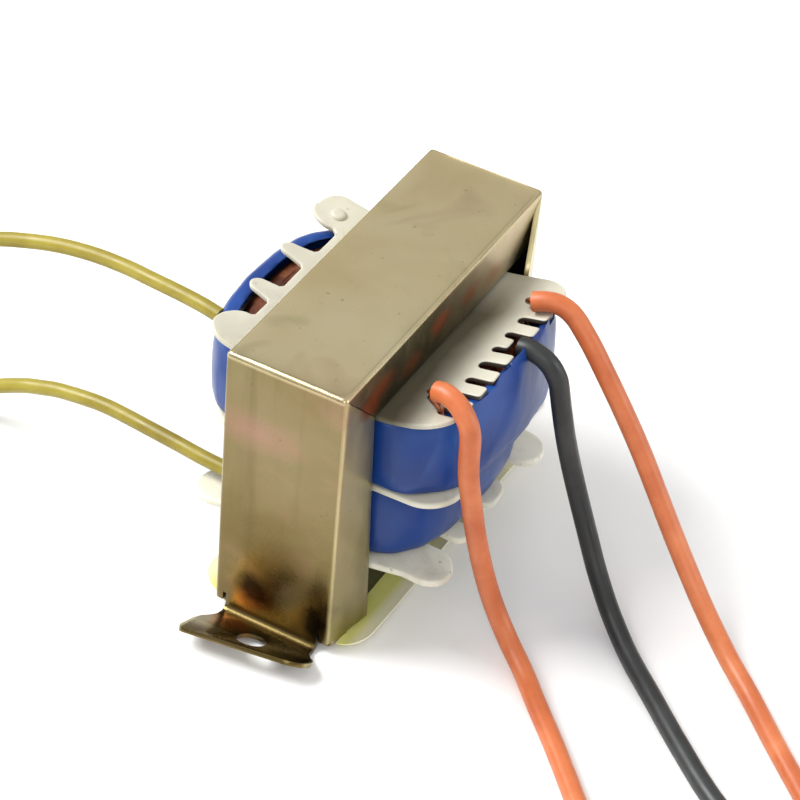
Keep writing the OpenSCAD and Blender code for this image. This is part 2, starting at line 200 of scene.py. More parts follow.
def tin_mat():
    mat, nt, b = new_mat("tinned_strands")
    v = coords(nt)
    n1 = noise(nt, v, 900.0, 5.0)
    nt.links.new(ramp(nt, n1, [(0.3, lin(150, 148, 144)), (0.7, lin(206, 205, 202))]), b.inputs["Base Color"])
    b.inputs["Metallic"].default_value = 1.0
    nt.links.new(rng(nt, n1, 0.3, 0.7, 0.18, 0.42), b.inputs["Roughness"])
    bump(nt, b, noise(nt, v, 2400.0, 3.0), 0.3, 0.00006)
    return mat


M["tin"] = tin_mat()


def tie_mat():
    mat, nt, b = new_mat("tie_nylon")
    v = coords(nt)
    n1 = noise(nt, v, 500.0, 3.0)
    nt.links.new(ramp(nt, n1, [(0.3, lin(212, 210, 200)), (0.7, lin(232, 231, 224))]), b.inputs["Base Color"])
    nt.links.new(rng(nt, n1, 0.3, 0.7, 0.35, 0.55), b.inputs["Roughness"])
    b.inputs["Subsurface Weight"].default_value = 0.2
    b.inputs["Subsurface Radius"].default_value = (0.001, 0.001, 0.0009)
    b.inputs["Subsurface Scale"].default_value = 1.0
    bump(nt, b, noise(nt, v, 1500.0), 0.2, 0.00005)
    return mat


M["tie"] = tie_mat()

# ---------------------------------------------------------------------------
# leads: the same routes as the CAD, in millimetres, then coils
COIL_Z = 0.3


def rad(a):
    return Vector((math.cos(math.radians(a)), math.sin(math.radians(a)), 0))


def tan_v(a, s):
    return s * Vector((-math.sin(math.radians(a)), math.cos(math.radians(a)), 0))


LEADS = {
    "orange_lead_1": dict(d=2.2, mat="orange", slot="orange_jacket", c=(-45.5, -40.4), a=-45, s=-1, turns=1.36, route=[
        (-10.7, -11.5, 30.9), (-10.9, -12.5, 31.2), (-11.15, -13.5, 31.15), (-11.4, -14.4, 30.8),
        (-11.65, -15.2, 30.15), (-11.8, -15.8, 29.35), (-11.9, -16.15, 28.4), (-11.95, -16.3, 27.3),
        (-11.95, -16.35, 25.5), (-11.9, -16.5, 23), (-11.6, -17, 19.5), (-11.1, -17.7, 15), (-10.5, -18.7, 10.2),
        (-10.2, -20.1, 6), (-10.9, -22.5, 2.7), (-13.2, -25.8, 1.3), (-16.6, -29.2, 1.1), (-20.4, -33, 1.1),
        (-24.2, -36.6, 1.1), (-28, -40.1, 1.2)]),
    "black_lead": dict(d=2.2, mat="black", slot="black_jacket", c=(-42, -67.5), a=-28, s=-1, turns=1.13, route=[
        (2.4, -14.3, 29), (2.4, -15.3, 29.15), (2.4, -16.3, 29), (2.45, -17.2, 28.6), (2.5, -17.95, 27.95),
        (2.6, -18.5, 27.1), (2.8, -18.85, 26.1), (3.05, -19.1, 24.4), (3.35, -19.5, 21.9), (3.6, -20.1, 18.9),
        (3.7, -21.1, 15.4), (3.4, -22.5, 12), (2.5, -24.4, 8.6), (1, -26.9, 4.9), (-1.4, -30, 2.4), (-4.8, -33.9, 1.2),
        (-8.9, -38.6, 1.1), (-13.3, -43.6, 1.1), (-18.4, -49.9, 1.1), (-23.2, -57.7, 1.2)]),
    "orange_lead_2": dict(d=2.2, mat="orange", slot="orange_jacket", c=(-17.9, -80.3), a=137, s=1, turns=1.18, route=[
        (8.3, -12.6, 30.3), (8.6, -13.8, 30.65), (8.9, -15, 30.7), (9, -16.2, 30.4), (9, -17.3, 29.7),
        (8.8, -18.5, 28.6), (8.5, -19.9, 27.2), (8.1, -21.8, 25), (7.6, -24.4, 21.8), (7, -27, 18.5),
        (6.1, -29.9, 14.7), (5, -32.9, 10.9), (3.6, -36, 7.6), (2, -39.2, 4.7), (-0.2, -43, 2.3), (-3.3, -47.2, 1.2),
        (-7.9, -52, 1.1), (-12.4, -56.8, 1.1), (-17, -61.6, 1.2)]),
    "yellow_lead_1": dict(d=1.7, mat="yellow", slot="yellow_jacket", c=(4.2, 68), a=180, s=-1, turns=1.55, route=[
        (-7.6, 15.5, 26.2), (-7.2, 18, 26.3), (-6.5, 21.3, 26), (-5.8, 25, 25.6), (-5.1, 28.8, 25.2), (-4.6, 33.3, 24.6),
        (-4.5, 37.8, 23.8), (-4.8, 42, 22.8), (-5.1, 46, 21.4), (-5.3, 50, 18.7), (-5.5, 52.8, 14.8), (-5.6, 54.4, 10),
        (-5.7, 56.3, 5.6), (-5.9, 59, 2.3)]),
    "yellow_lead_2": dict(d=1.7, mat="yellow", slot="yellow_jacket", c=(-20.7, 55), a=0, s=1, turns=1.86, route=[
        (-11.6, 10, 9.6), (-11.45, 12.3, 9.6), (-11.3, 14.6, 9.6), (-10.9, 18, 9.6), (-10.6, 20, 9.5), (-10.3, 22, 9.4),
        (-9.7, 26.2, 9.2), (-9.5, 28.3, 9.1), (-9.4, 30.4, 8.9), (-9.4, 34.6, 8.3), (-9.55, 36.7, 7.8), (-9.7, 38.8, 7.2),
        (-9.9, 42.6, 5.4), (-10.2, 46, 2.9)]),
}


def lead_points(k):
    """Route, straight join, coil and tail of one lead, in millimetres."""
    d, s, a, turns = k["d"], k["s"], k["a"], k["turns"]
    r = 12.1 if d > 2 else 10.2
    jl = 7.5 if d > 2 else 6.1
    z = COIL_Z + d / 2
    c = Vector((k["c"][0], k["c"][1], z))
    pts = [Vector(p) for p in k["route"]]
    t0 = c + r * rad(a)
    pts.append(t0 - jl * tan_v(a, s))
    pts.append(t0 - jl * 0.5 * tan_v(a, s))
    free = turns - 1.0 + 0.02
    n = int(turns * 16)
    for i in range(n + 1):
        t = turns * i / n
        if t <= free:
            f = 0.0
        elif t >= 1.0:
            f = 1.0
        else:
            f = (t - free) / (1.0 - free)
            f = f * f * (3 - 2 * f)
        rr = r - d * 1.0 * f
        pts.append(c + rr * rad(a + s * 360 * t))
    e = a + s * 360 * turns
    v = math.cos(math.radians(55)) * tan_v(e, s) - math.sin(math.radians(55)) * rad(e)
    tail = c + (r - d) * rad(e)
    pts[-1] = tail + 0.15 * d * (tan_v(e, s) - rad(e)) * 0.2
    pts.append(tail + 3.0 * v - 0.35 * rad(e) * -1 * 0)
    pts.append(tail + 5.2 * v)
    return pts, v, tail + 5.2 * v


def curve_length(pts, res=12):
    """Length of the cubic through the points that Blender's auto handles draw, near enough."""
    total = 0.0
    for a, b in zip(pts, pts[1:]):
        total += (b - a).length
    return total


def make_curve(name, pts, d, mat, res=6):
    cu = bpy.data.curves.new(name, "CURVE")
    cu.dimensions = "3D"
    cu.resolution_u = res
    cu.bevel_depth = d / 2 * MM
    cu.bevel_resolution = 5
    cu.use_fill_caps = True
    sp = cu.splines.new("BEZIER")
    sp.bezier_points.add(len(pts) - 1)
    n = len(pts)
    for i, p in enumerate(pts):
        bp = sp.bezier_points[i]
        bp.co = p * MM
        a = pts[max(i - 1, 0)]
        b = pts[min(i + 1, n - 1)]
        t = (b - a).normalized()
        la = (p - a).length / 3
        lb = (b - p).length / 3
        bp.handle_left_type = bp.handle_right_type = "FREE"
        bp.handle_left = (p - t * la) * MM
        bp.handle_right = (p + t * lb) * MM
    o = bpy.data.objects.new(name, cu)
    bpy.context.scene.collection.objects.link(o)
    o.data.materials.append(mat)
    return o


CORD_PIECES = {}
for lead, k in LEADS.items():
    pts, tail_v, tail_end = lead_points(k)
    o = make_curve(lead + "_jacket", pts, k["d"], M[k["mat"]])
    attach(o, "root")
    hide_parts(lead, lead + "_coil")
    CORD_PIECES[lead] = (o, pts, tail_v, tail_end)

# ---------------------------------------------------------------------------
# mesh helpers


def bake(o):
    """Applies a piece's modifiers."""
    dg = bpy.context.evaluated_depsgraph_get()
    me = bpy.data.meshes.new_from_object(o.evaluated_get(dg), depsgraph=dg)
    me.name = o.name
    o.modifiers.clear()
    old = o.data
    o.data = me
    bpy.data.meshes.remove(old)


def soften(o, angle=38.0):
    """Smooth shading, with edges sharper than angle kept sharp."""
    bm = bmesh.new()
    bm.from_mesh(o.data)
    lim = math.radians(angle)
    for f in bm.faces:
        f.smooth = True
    for e in bm.edges:
        e.smooth = not (len(e.link_faces) == 2 and e.calc_face_angle(0.0) > lim)
    bm.to_mesh(o.data)
    bm.free()


def piece(name, bm, mat, nodes=(), angle=38.0):
    me = bpy.data.meshes.new(name)
    bm.to_mesh(me)
    bm.free()
    o = bpy.data.objects.new(name, me)
    bpy.context.scene.collection.objects.link(o)
    me.materials.append(mat)
    soften(o, angle)
    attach(o, "root")
    if nodes:
        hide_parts(*nodes)
    return o


def dress(name, mat):
    o = bpy.data.objects[name]
    if not o.material_slots:
        o.data.materials.append(mat)
    for s in o.material_slots:
        s.material = mat


def wave(x, y, z, scale, seed=0.0):
    return mnoise.noise(Vector((x * scale + seed, y * scale - 3.1 * seed, z * scale + 7.7 * seed)))


def smooth01(t):
    t = max(0.0, min(1.0, t))
    return t * t * (3 - 2 * t)


def arc2(cx, cy, r, a0, a1, n=6):
    return [(cx + r * math.cos(math.radians(a0 + (a1 - a0) * i / n)), cy + r * math.sin(math.radians(a0 + (a1 - a0) * i / n)))
            for i in range(n + 1)]


def tube_mesh(bm, pts, r, sides=6, closed=False):
    """A round wire along pts, in millimetres, added to bm."""
    n = len(pts)
    pts = [Vector(p) for p in pts]
    rings = []
    up = Vector((0, 0, 1))
    for i, p in enumerate(pts):
        a = pts[(i - 1) % n] if closed else pts[max(i - 1, 0)]
        b = pts[(i + 1) % n] if closed else pts[min(i + 1, n - 1)]
        t = (b - a).normalized()
        u = t.cross(up)
        if u.length < 0.05:
            u = t.cross(Vector((1, 0, 0)))
        u.normalize()
        v = t.cross(u)
        rings.append([bm.verts.new((p + r * (math.cos(2 * math.pi * j / sides) * u + math.sin(2 * math.pi * j / sides) * v)) * MM)
                      for j in range(sides)])
    for i in range(n if closed else n - 1):
        a, b = rings[i], rings[(i + 1) % n]
        for j in range(sides):
            bm.faces.new((a[j], a[(j + 1) % sides], b[(j + 1) % sides], b[j]))
    if not closed:
        bm.faces.new(rings[0][::-1])
        bm.faces.new(rings[-1])
    return rings


# ---------------------------------------------------------------------------
# strap frame: one folded sheet, in millimetres
OX, OY, TZ, SD, ST = 21.1, 6.9, 34.55, 6.3, 0.5
RC, RE, GAP = 0.52, 0.54, 0.07
SPRING = math.radians(19.5)
FLARE = 1.1


def frame_sheet():
    bm = bmesh.new()
    webs = [6.2, 5.9, 5.5, 5.0, 4.4, 3.3, 2.2, 1.1, 0.0]
    webs = webs + [-w for w in webs[-2::-1]]
    depths = [6.3, 5.6, 4.8, 4.0, 3.1, 2.3, 1.6, 1.0]
    cols = [(1, OY, d) for d in depths]
    cols += [(1, OY - RC + RC * math.sin(math.radians(t)), RC * (1 - math.cos(math.radians(t)))) for t in (90, 70, 52, 35, 18, 0)]
    cols += [(0, y, 0.0) for y in webs]
    cols += [(-s, -y, d) for s, y, d in cols[:14]][::-1]
    steps = [0, 0.3, 0.7, 1.2, 1.9, 2.9, 4.3, 6.2, 8.6, 11.6, 15.4, 20.5]
    steps = [q / 41 for q in steps] + [1 - q / 41 for q in steps[-2::-1]]

    def put(rows):
        vs = [[bm.verts.new(Vector(p) * MM) for p in r] for r in rows]
        for a, b in zip(vs, vs[1:]):
            for i in range(len(a) - 1):
                bm.faces.new((a[i], a[i + 1], b[i + 1], b[i]))

    def top_z(d):
        return TZ - RE if d <= RC + 1e-6 else TZ - d - GAP

    def near(c, z):
        s, y, d = c
        f = 0.0
        if s and d > RC:
            f = FLARE * max(0.0, (TZ - SD - z) / (TZ - SD - 1.3)) * (d - RC) / (SD - RC)
        return (-OX + d, y + s * f, z)

    def far(c, z):
        s, y, d = c
        if s == -1 and d > RC:
            return (OX - RC - (d - RC) * math.cos(SPRING), -OY - (d - RC) * math.sin(SPRING), z)
        return (OX - d, y, z)

    n = len(cols)
    nz = 16
    # upper part of the legs
    rows = []
    for k in range(nz + 1):
        rows.append([near(c, 2.4 + (top_z(c[2]) - 2.4) * k / nz) for c in cols])
    put(rows)
    rows = []
    for k in range(nz + 1):
        rows.append([far(c, top_z(c[2]) + (2.4 - top_z(c[2])) * k / nz) for c in cols])
    put(rows)
    # bends over the ends of the top
    mid = [c for c in cols if c[2] <= RC + 1e-6]
    rows = []
    for k in range(8):
        f = math.radians(90 * k / 7)
        rows.append([(-(OX - RE) - (RE - d) * math.cos(f), y, TZ - RE + (RE - d) * math.sin(f)) for s, y, d in mid])
    put(rows)
    rows = []
    for k in range(8):
        f = math.radians(90 - 90 * k / 7)
        rows.append([((OX - RE) + (RE - d) * math.cos(f), y, TZ - RE + (RE - d) * math.sin(f)) for s, y, d in mid])
    put(rows)
    # top

    def ends(c):
        s, y, d = c
        if d <= RC + 1e-6:
            return -(OX - RE), OX - RE
        return -(OX - d - GAP), (20.2 if s == -1 else OX - d - GAP)
    rows = []
    for q in steps:
        r = []
        for c in cols:
            a, b = ends(c)
            r.append((a + (b - a) * q, c[1], TZ - c[2]))
        rows.append(r)
    put(rows)
    # foot of the flanges
    for side in (1, -1):
        part = [c for c in cols if c[1] * side >= 5.9]
        put([[near(c, 1.3) for c in part], [near(c, 2.4) for c in part]])
        put([[far(c, 2.4) for c in part], [far(c, 1.3) for c in part]])
        # tabs crimped under the core
        tab = [c for c in cols if c[0] == side and 0.99 <= c[2] <= 3.11]

        def tabrow(leg, a):
            out = []
            for c in tab:
                x, y, z = leg(c, 1.3)
                if a < 0:
                    out.append((x, y, 1.1))
                elif a > 90:
                    out.append((x, y - side * 2.3, 0.25))
                else:
                    out.append((x, y - side * 0.85 * (1 - math.cos(math.radians(a))), 1.1 - 0.85 * math.sin(math.radians(a))))
            return out
        seq = [[leg_c for leg_c in tabrow(near, a)] for a in (100, 90, 72, 54, 36, 18, 0)]
        put(seq + [[near(c, 1.3) for c in tab]])
        if side == 1:
            seq = [[leg_c for leg_c in tabrow(far, a)] for a in (0, 18, 36, 54, 72, 90, 100)]
            put([[far(c, 1.3) for c in tab]] + seq)
    # necks, bends and ears
    neck = [c for c in cols if c[0] == 0 and abs(c[1]) <= 5.51]
    ys = [c[1] for c in neck]
    for side in (-1, 1):
        rb = 0.7
        nb = 8

        # the near ear has been bent up and twisted in handling
        def turn(y):
            return math.radians(107.5 - 0.95 * y) if side == -1 else math.radians(90)

        def root(y, k=nb):
            f = turn(y) * k / nb
            return side * (OX + rb - rb * math.cos(f)), 1.2 - rb * math.sin(f)
        rows = [[(side * OX, y, 2.4) for y in ys], [(side * OX, y, 1.8) for y in ys]]
        for k in range(nb + 1):
            rows.append([(root(y, k)[0], y, root(y, k)[1]) for y in ys])
        put(rows[::-1] if side == -1 else rows)
        half = [(0.8, 5.6), (1.5, 6.0), (2.3, 6.65), (3.3, 7.0)]
        half += [(-(x) - 21.8, y) for x, y in arc2(-27.5, 6.3, 0.8, 90, 185, 7)]
        half += [(-(x) - 21.8, y) for x, y in arc2(-24.5, -4.4, 2.6, 187, 270, 10)]
        half += [(2.0, -6.8), (1.4, -6.15), (0.7, -5.65)]
        # s runs out along the ear from the bend; the far ear is turned half round
        flip = 1 if side == -1 else -1

        def at(s, y):
            f = turn(flip * y)
            ex, ez = root(flip * y)
            curl = 0.024 * s * s if side == -1 else 0.0
            return Vector((ex + side * s * math.sin(f), flip * y, ez - s * math.cos(f) + curl))
        edge = [Vector((root(y)[0], y, root(y)[1])) for y in ys]
        ring = [at(s, y) for s, y in half]
        # the neck's own row of points closes the outline
        if flip == 1:
            outline = ring + edge[::-1]
        else:
            outline = ring + edge
        ov = [bm.verts.new(p * MM) for p in outline]
        es = [bm.edges.new((ov[i], ov[(i + 1) % len(ov)])) for i in range(len(ov))]
        hv = [bm.verts.new(at(3.2 + 1.6 * math.cos(2 * math.pi * i / 36), 1.6 * math.sin(2 * math.pi * i / 36)) * MM) for i in range(36)]
        es += [bm.edges.new((hv[i], hv[(i + 1) % 36])) for i in range(36)]
        res = bmesh.ops.triangle_fill(bm, edges=es, use_beauty=True, use_dissolve=False)
        for g in res["geom"]:
            if isinstance(g, bmesh.types.BMFace):
                g.normal_update()
                if g.normal.z < 0:
                    g.normal_flip()
    bmesh.ops.remove_doubles(bm, verts=bm.verts, dist=0.000004)
    # hand-folded sheet is never quite flat
    for v in bm.verts:
        p = v.co / MM
        if p.z > 3 and abs(p.x) > OX - 0.01 and abs(p.y) < 6:
            v.co.x += 0.05 * MM * wave(p.x, p.y, p.z, 0.12, 2.0) * (1 - (p.y / 6.1) ** 2)
        if p.z > TZ - 0.01 and abs(p.y) < OY - RC + 0.01 and abs(p.x) < OX - RE + 0.01:
            dx, dy = OX - RE - abs(p.x), OY - RC - abs(p.y)
            v.co.z -= MM * (0.12 * (1 - math.exp(-dx / 0.8)) + 0.08 * (1 - math.exp(-dy / 0.7)))
        if p.z > TZ - 0.01 and abs(p.y) < 6:
            v.co.z += 0.035 * MM * (wave(p.x, p.y, p.z, 0.1, 4.0) - 0.4) * (1 - (p.y / 6.1) ** 2) * (1 - (abs(p.x) / 21) ** 6)
    return bm


# ---------------------------------------------------------------------------
# steel finish


def steel_mat():
    mat, nt, b = new_mat("passivated_steel")
    v = coords(nt)
    sep = node(nt, "ShaderNodeSeparateXYZ")
    nt.links.new(v, sep.inputs[0])
    X, Y, Z = sep.outputs
    big = noise(nt, v, 55.0, 3.0, 0.5, 0.6)
    mid = noise(nt, v, 230.0, 4.0, 0.6)
    # the top web is painted paler and the legs darker: painted light and shade on the one steel sheet
    top = rng(nt, Z, 0.0338, 0.0343, 0.0, 1.0)
    hi = ramp(nt, big, [(0.3, lin(202, 184, 138)), (0.5, lin(210, 194, 151)), (0.7, lin(216, 203, 164))])
    lo = ramp(nt, big, [(0.3, lin(116, 100, 64)), (0.5, lin(130, 115, 80)), (0.7, lin(140, 127, 94))])
    col = mixc(nt, top, lo, hi)
    ay = mathn(nt, "ABSOLUTE", Y)
    ax = mathn(nt, "ABSOLUTE", X)
    lip = rng(nt, ay, 0.00655, 0.0068, 0.0, 1.0)
    # the mitre parts a leg's flange from the top's
    mitre = mathn(nt, "SUBTRACT", mathn(nt, "SUBTRACT", TZ * MM, Z), mathn(nt, "SUBTRACT", OX * MM, ax))
    on_leg = mathn(nt, "MULTIPLY", rng(nt, ax, 0.0142, 0.0146, 0.0, 1.0), rng(nt, mitre, -0.00002, 0.00002, 0.0, 1.0))
    below = mathn(nt, "MULTIPLY", rng(nt, Z, 0.0343, 0.0341, 0.0, 1.0), rng(nt, mitre, -0.00002, 0.00002, 1.0, 0.0))
    # the legs' flanges are paler; the top's carry a painted reflection of the shadowed bobbin and of the orange leads,
    # darkest near the bend
    flange = mathn(nt, "MULTIPLY", lip, on_leg)
    col = mixc(nt, flange, col, ramp(nt, big, [(0.3, lin(186, 174, 128)), (0.7, lin(202, 193, 152))]))
    top_flange_mask = mathn(nt, "MULTIPLY", mathn(nt, "MULTIPLY", lip, below), rng(nt, Z, 0.0279, 0.0282, 0.0, 1.0))
    flange_reflection_noise = noise(nt, v, 190.0, 4.0, 0.6, 0.4)
    painted_flange_reflection = mixc(nt, rng(nt, X, -0.003, 0.013, 0.0, 1.0), ramp(nt, flange_reflection_noise, [(0.32, lin(70, 62, 42)), (0.5, lin(88, 78, 54)), (0.62, lin(112, 98, 72)), (0.72, lin(150, 78, 42))]), lin(196, 180, 148))
    col = mixc(nt, top_flange_mask, col, painted_flange_reflection)
    # legs go browner towards the foot
    low = rng(nt, mathn(nt, "ADD", Z, mathn(nt, "MULTIPLY", mathn(nt, "SUBTRACT", big, 0.5), 0.02)), 0.016, 0.004, 0.0, 0.75)
    low = mathn(nt, "MULTIPLY", low, rng(nt, lip, 0.0, 1.0, 1.0, 0.4))
    col = mixc(nt, low, col, lin(108, 92, 52))
    # long dull streaks down the legs: painted reflections in the steel
    painted_streak_reflection = noise(nt, coords(nt, (150.0, 420.0, 34.0)), 1.0, 3.0, 0.6)
    col = mixc(nt, mathn(nt, "MULTIPLY", rng(nt, painted_streak_reflection, 0.5, 0.72, 0.0, 0.4), rng(nt, top, 0.0, 1.0, 1.0, 0.0)), col, lin(96, 84, 52))
    # faint pink and green interference tints of the passivation
    tint = noise(nt, v, 80.0, 2.0, 0.5, 1.2)
    col = mixc(nt, rng(nt, tint, 0.58, 0.75, 0.0, 0.35), col, lin(170, 132, 112))
    col = mixc(nt, rng(nt, tint, 0.4, 0.25, 0.0, 0.3), col, lin(128, 130, 84))

    def blot(x, y, z, r, soft, amount, c, col, sx=1.0, sy=1.0, sz=1.0):
        dx = mathn(nt, "MULTIPLY", mathn(nt, "SUBTRACT", X, x * MM), sx)
        dy = mathn(nt, "MULTIPLY", mathn(nt, "SUBTRACT", Y, y * MM), sy)
        dz = mathn(nt, "MULTIPLY", mathn(nt, "SUBTRACT", Z, z * MM), sz)
        d2 = mathn(nt, "ADD", mathn(nt, "ADD", mathn(nt, "MULTIPLY", dx, dx), mathn(nt, "MULTIPLY", dy, dy)), mathn(nt, "MULTIPLY", dz, dz))
        d = mathn(nt, "SQRT", d2)
        d = mathn(nt, "ADD", d, mathn(nt, "MULTIPLY", mathn(nt, "SUBTRACT", mid, 0.5), 0.0028))
        f = rng(nt, d, r * MM, (r + soft) * MM, amount, 0.0)
        return mixc(nt, f, col, c)
    for x, z, r, a in ((-16.0, 30.4, 0.7, 0.85), (-13.4, 31.6, 0.5, 0.7), (-7.2, 30.2, 0.4, 0.5), (-1.6, 31.6, 0.6, 0.75),
                       (4.6, 31.0, 0.5, 0.6), (10.2, 30.2, 0.3, 0.35)):
        # orange-brown spots along the top's front flange: painted reflections of the orange leads
        col = blot(x, -OY, z, r, 1.1, a, lin(168, 84, 46), col, 0.6, 0.3, 1.0)
    for sx in (-1, 1):
        # scorched spots beside the foot's bend
        col = blot(sx * OX, sx * 0.4, 8.6, 1.6, 2.6, 0.5, lin(88, 70, 34), col, 0.3, 0.8, 0.8)
        col = blot(sx * OX, sx * 5.6, 6.0, 0.1, 1.6, 0.75, lin(58, 46, 26), col, 0.3, 1.0, 0.3)
        col = blot(sx * OX, -sx * 2.4, 4.6, 1.0, 1.3, 0.97, lin(34, 30, 24), col, 0.4, 0.9, 0.8)
        col = blot(sx * OX, sx * 4.9, 3.0, 0.8, 1.2, 0.96, lin(36, 31, 24), col, 0.4, 1.0, 0.62)
        col = blot(sx * OX, -sx * 2.6, 26.0, 0.3, 2.6, 0.5, lin(176, 128, 118), col, 0.3, 0.5, 1.0)
        # dark streaks and an orange spot on the ears: painted reflections in the ears' top faces
        col = blot(sx * 24.0, sx * 3.8, 0.9, 1.2, 1.6, 0.85, lin(70, 58, 36), col, 0.8, 0.7, 0.4)
        col = blot(sx * 24.4, -sx * 0.4, 0.8, 0.6, 1.2, 0.6, lin(76, 64, 44), col, 0.8, 0.7, 0.4)
        col = blot(sx * 23.4, -sx * 3.2, 0.8, 0.5, 1.3, 0.7, lin(188, 110, 58), col, 1.0, 0.7, 0.4)
    # fine grime and pin-prick specks
    speck = noise(nt, v, 1500.0, 2.0)
    col = mixc(nt, rng(nt, speck, 0.7, 0.8, 0.0, 0.4), col, lin(78, 66, 44))
    nt.links.new(col, b.inputs["Base Color"])
    b.inputs["Metallic"].default_value = 1.0
    rough = rng(nt, mid, 0.3, 0.7, 0.19, 0.31)
    rough = mathn(nt, "ADD", rough, mathn(nt, "MULTIPLY", low, 0.05))
    rough = mathn(nt, "ADD", rough, mathn(nt, "MULTIPLY", top_flange_mask, 0.2))
    rough = mathn(nt, "ADD", rough, mathn(nt, "MULTIPLY", flange, 0.1))
    nt.links.new(rough, b.inputs["Roughness"])
    h1 = bump(nt, b, noise(nt, v, 90.0, 2.0), 0.07, 0.0002)
    # scratches
    sv = coords(nt, (300.0, 2600.0, 420.0), (0, 0, 0), (0.3, 0.2, 0.5))
    sc = rng(nt, noise(nt, sv, 1.0, 1.0), 0.66, 0.72, 0.0, 1.0)
    h2 = bump(nt, b, sc, 0.06, 0.00002, h1)
    bump(nt, b, noise(nt, v, 3000.0, 3.0), 0.02, 0.00002, h2)
    return mat


M["steel"] = steel_mat()
bm = frame_sheet()
me = bpy.data.meshes.new("strap_frame")
bm.to_mesh(me)
bm.free()
strap = bpy.data.objects.new("strap_frame", me)
bpy.context.scene.collection.objects.link(strap)
me.materials.append(M["steel"])
md = strap.modifiers.new("sheet", "SOLIDIFY")
md.thickness = ST * MM
md.offset = -1.0
md.use_even_offset = True
md.use_quality_normals = True
md = strap.modifiers.new("edges", "BEVEL")
md.width = 0.06 * MM
md.segments = 2
md.limit_method = "ANGLE"
md.angle_limit = math.radians(50)
bake(strap)
soften(strap, 42)
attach(strap, "root")
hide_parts("frame")

# ---------------------------------------------------------------------------
# core: the plates are the CAD's own, with a varnished, slightly rusty face


def core_mat():
    mat, nt, b = new_mat("varnished_core_steel")
    v = coords(nt)
    n1 = noise(nt, v, 260.0, 5.0, 0.6)
    col = ramp(nt, n1, [(0.3, lin(30, 26, 28)), (0.52, lin(48, 42, 44)), (0.75, lin(74, 62, 56))])
    streak = noise(nt, coords(nt, (160.0, 2200.0, 160.0)), 1.0, 2.0)
    col = mixc(nt, rng(nt, streak, 0.45, 0.7, 0.0, 0.45), col, lin(86, 78, 76))
    col = mixc(nt, rng(nt, noise(nt, v, 120.0, 4.0), 0.6, 0.74, 0.0, 0.5), col, lin(94, 58, 36))
    nt.links.new(col, b.inputs["Base Color"])
    b.inputs["Metallic"].default_value = 0.7
    nt.links.new(rng(nt, n1, 0.3, 0.7, 0.32, 0.55), b.inputs["Roughness"])
    bump(nt, b, noise(nt, v, 1400.0, 4.0), 0.2, 0.00006)
    return mat


M["core"] = core_mat()
dress("e_laminations", M["core"])
dress("i_laminations", M["core"])

# ---------------------------------------------------------------------------
# bobbin


def nylon_mat():
    mat, nt, b = new_mat("white_nylon")
    v = coords(nt)
    n1 = noise(nt, v, 90.0, 3.0)
    col = ramp(nt, n1, [(0.3, lin(214, 212, 192)), (0.55, lin(223, 221, 205)), (0.75, lin(230, 229, 217))])
    # grime in patches, and a few dark specks
    col = mixc(nt, rng(nt, noise(nt, v, 150.0, 5.0, 0.65, 0.8), 0.52, 0.72, 0.0, 0.4), col, lin(172, 163, 138))
    col = mixc(nt, rng(nt, noise(nt, v, 1300.0, 2.0), 0.68, 0.76, 0.0, 0.45), col, lin(112, 100, 78))
    # painted shadow under the strap's front flange, and painted shade on the walls of the comb's slots
    sep = node(nt, "ShaderNodeSeparateXYZ")
    nt.links.new(v, sep.inputs[0])
    X, Y, Z = sep.outputs
    geo = node(nt, "ShaderNodeNewGeometry")
    sn = node(nt, "ShaderNodeSeparateXYZ")
    nt.links.new(geo.outputs["Normal"], sn.inputs[0])
    upper = rng(nt, Z, 0.0262, 0.0266, 0.0, 1.0)
    band = mathn(nt, "ADD", Y, mathn(nt, "MULTIPLY", mathn(nt, "SUBTRACT", n1, 0.5), 0.004))
    # the upper plate is painted a little darker than the lower ones: painted shade
    col = mixc(nt, mathn(nt, "MULTIPLY", upper, 0.55), col, lin(178, 173, 156))
    painted_flange_shadow = mathn(nt, "MULTIPLY", upper, rng(nt, band, -0.0124, -0.0084, 0.0, 0.94))
    painted_flange_shadow = mathn(nt, "MULTIPLY", painted_flange_shadow, rng(nt, Y, -0.001, 0.001, 1.0, 0.0))
    painted_flange_shadow = mathn(nt, "MULTIPLY", painted_flange_shadow, rng(nt, X, 0.006, 0.0125, 1.0, 0.35))
    col = mixc(nt, painted_flange_shadow, col, lin(76, 72, 52))
    painted_slot_shade = rng(nt, mathn(nt, "ABSOLUTE", sn.outputs[2]), 0.75, 0.45, 0.0, 1.0)
    painted_slot_shade = mathn(nt, "MULTIPLY", mathn(nt, "MULTIPLY", painted_slot_shade, upper), rng(nt, Y, -0.0118, -0.012, 0.0, 1.0))
    painted_slot_shade = mathn(nt, "MULTIPLY", painted_slot_shade, rng(nt, mathn(nt, "ABSOLUTE", mathn(nt, "SUBTRACT", X, -0.0006)), 0.0112, 0.0107, 0.0, 0.95))
    col = mixc(nt, painted_slot_shade, col, lin(52, 40, 32))
    nt.links.new(col, b.inputs["Base Color"])
    nt.links.new(rng(nt, noise(nt, v, 300.0), 0.3, 0.7, 0.34, 0.5), b.inputs["Roughness"])
    b.inputs["Subsurface Weight"].default_value = 0.12
    b.inputs["Subsurface Radius"].default_value = (0.0012, 0.0010, 0.0007)
    b.inputs["Subsurface Scale"].default_value = 0.6
    b.inputs["IOR"].default_value = 1.5
    h = bump(nt, b, noise(nt, v, 260.0, 3.0), 0.3, 0.00012)
    bump(nt, b, noise(nt, v, 2200.0, 3.0), 0.1, 0.00004, h)
    return mat


M["nylon"] = nylon_mat()


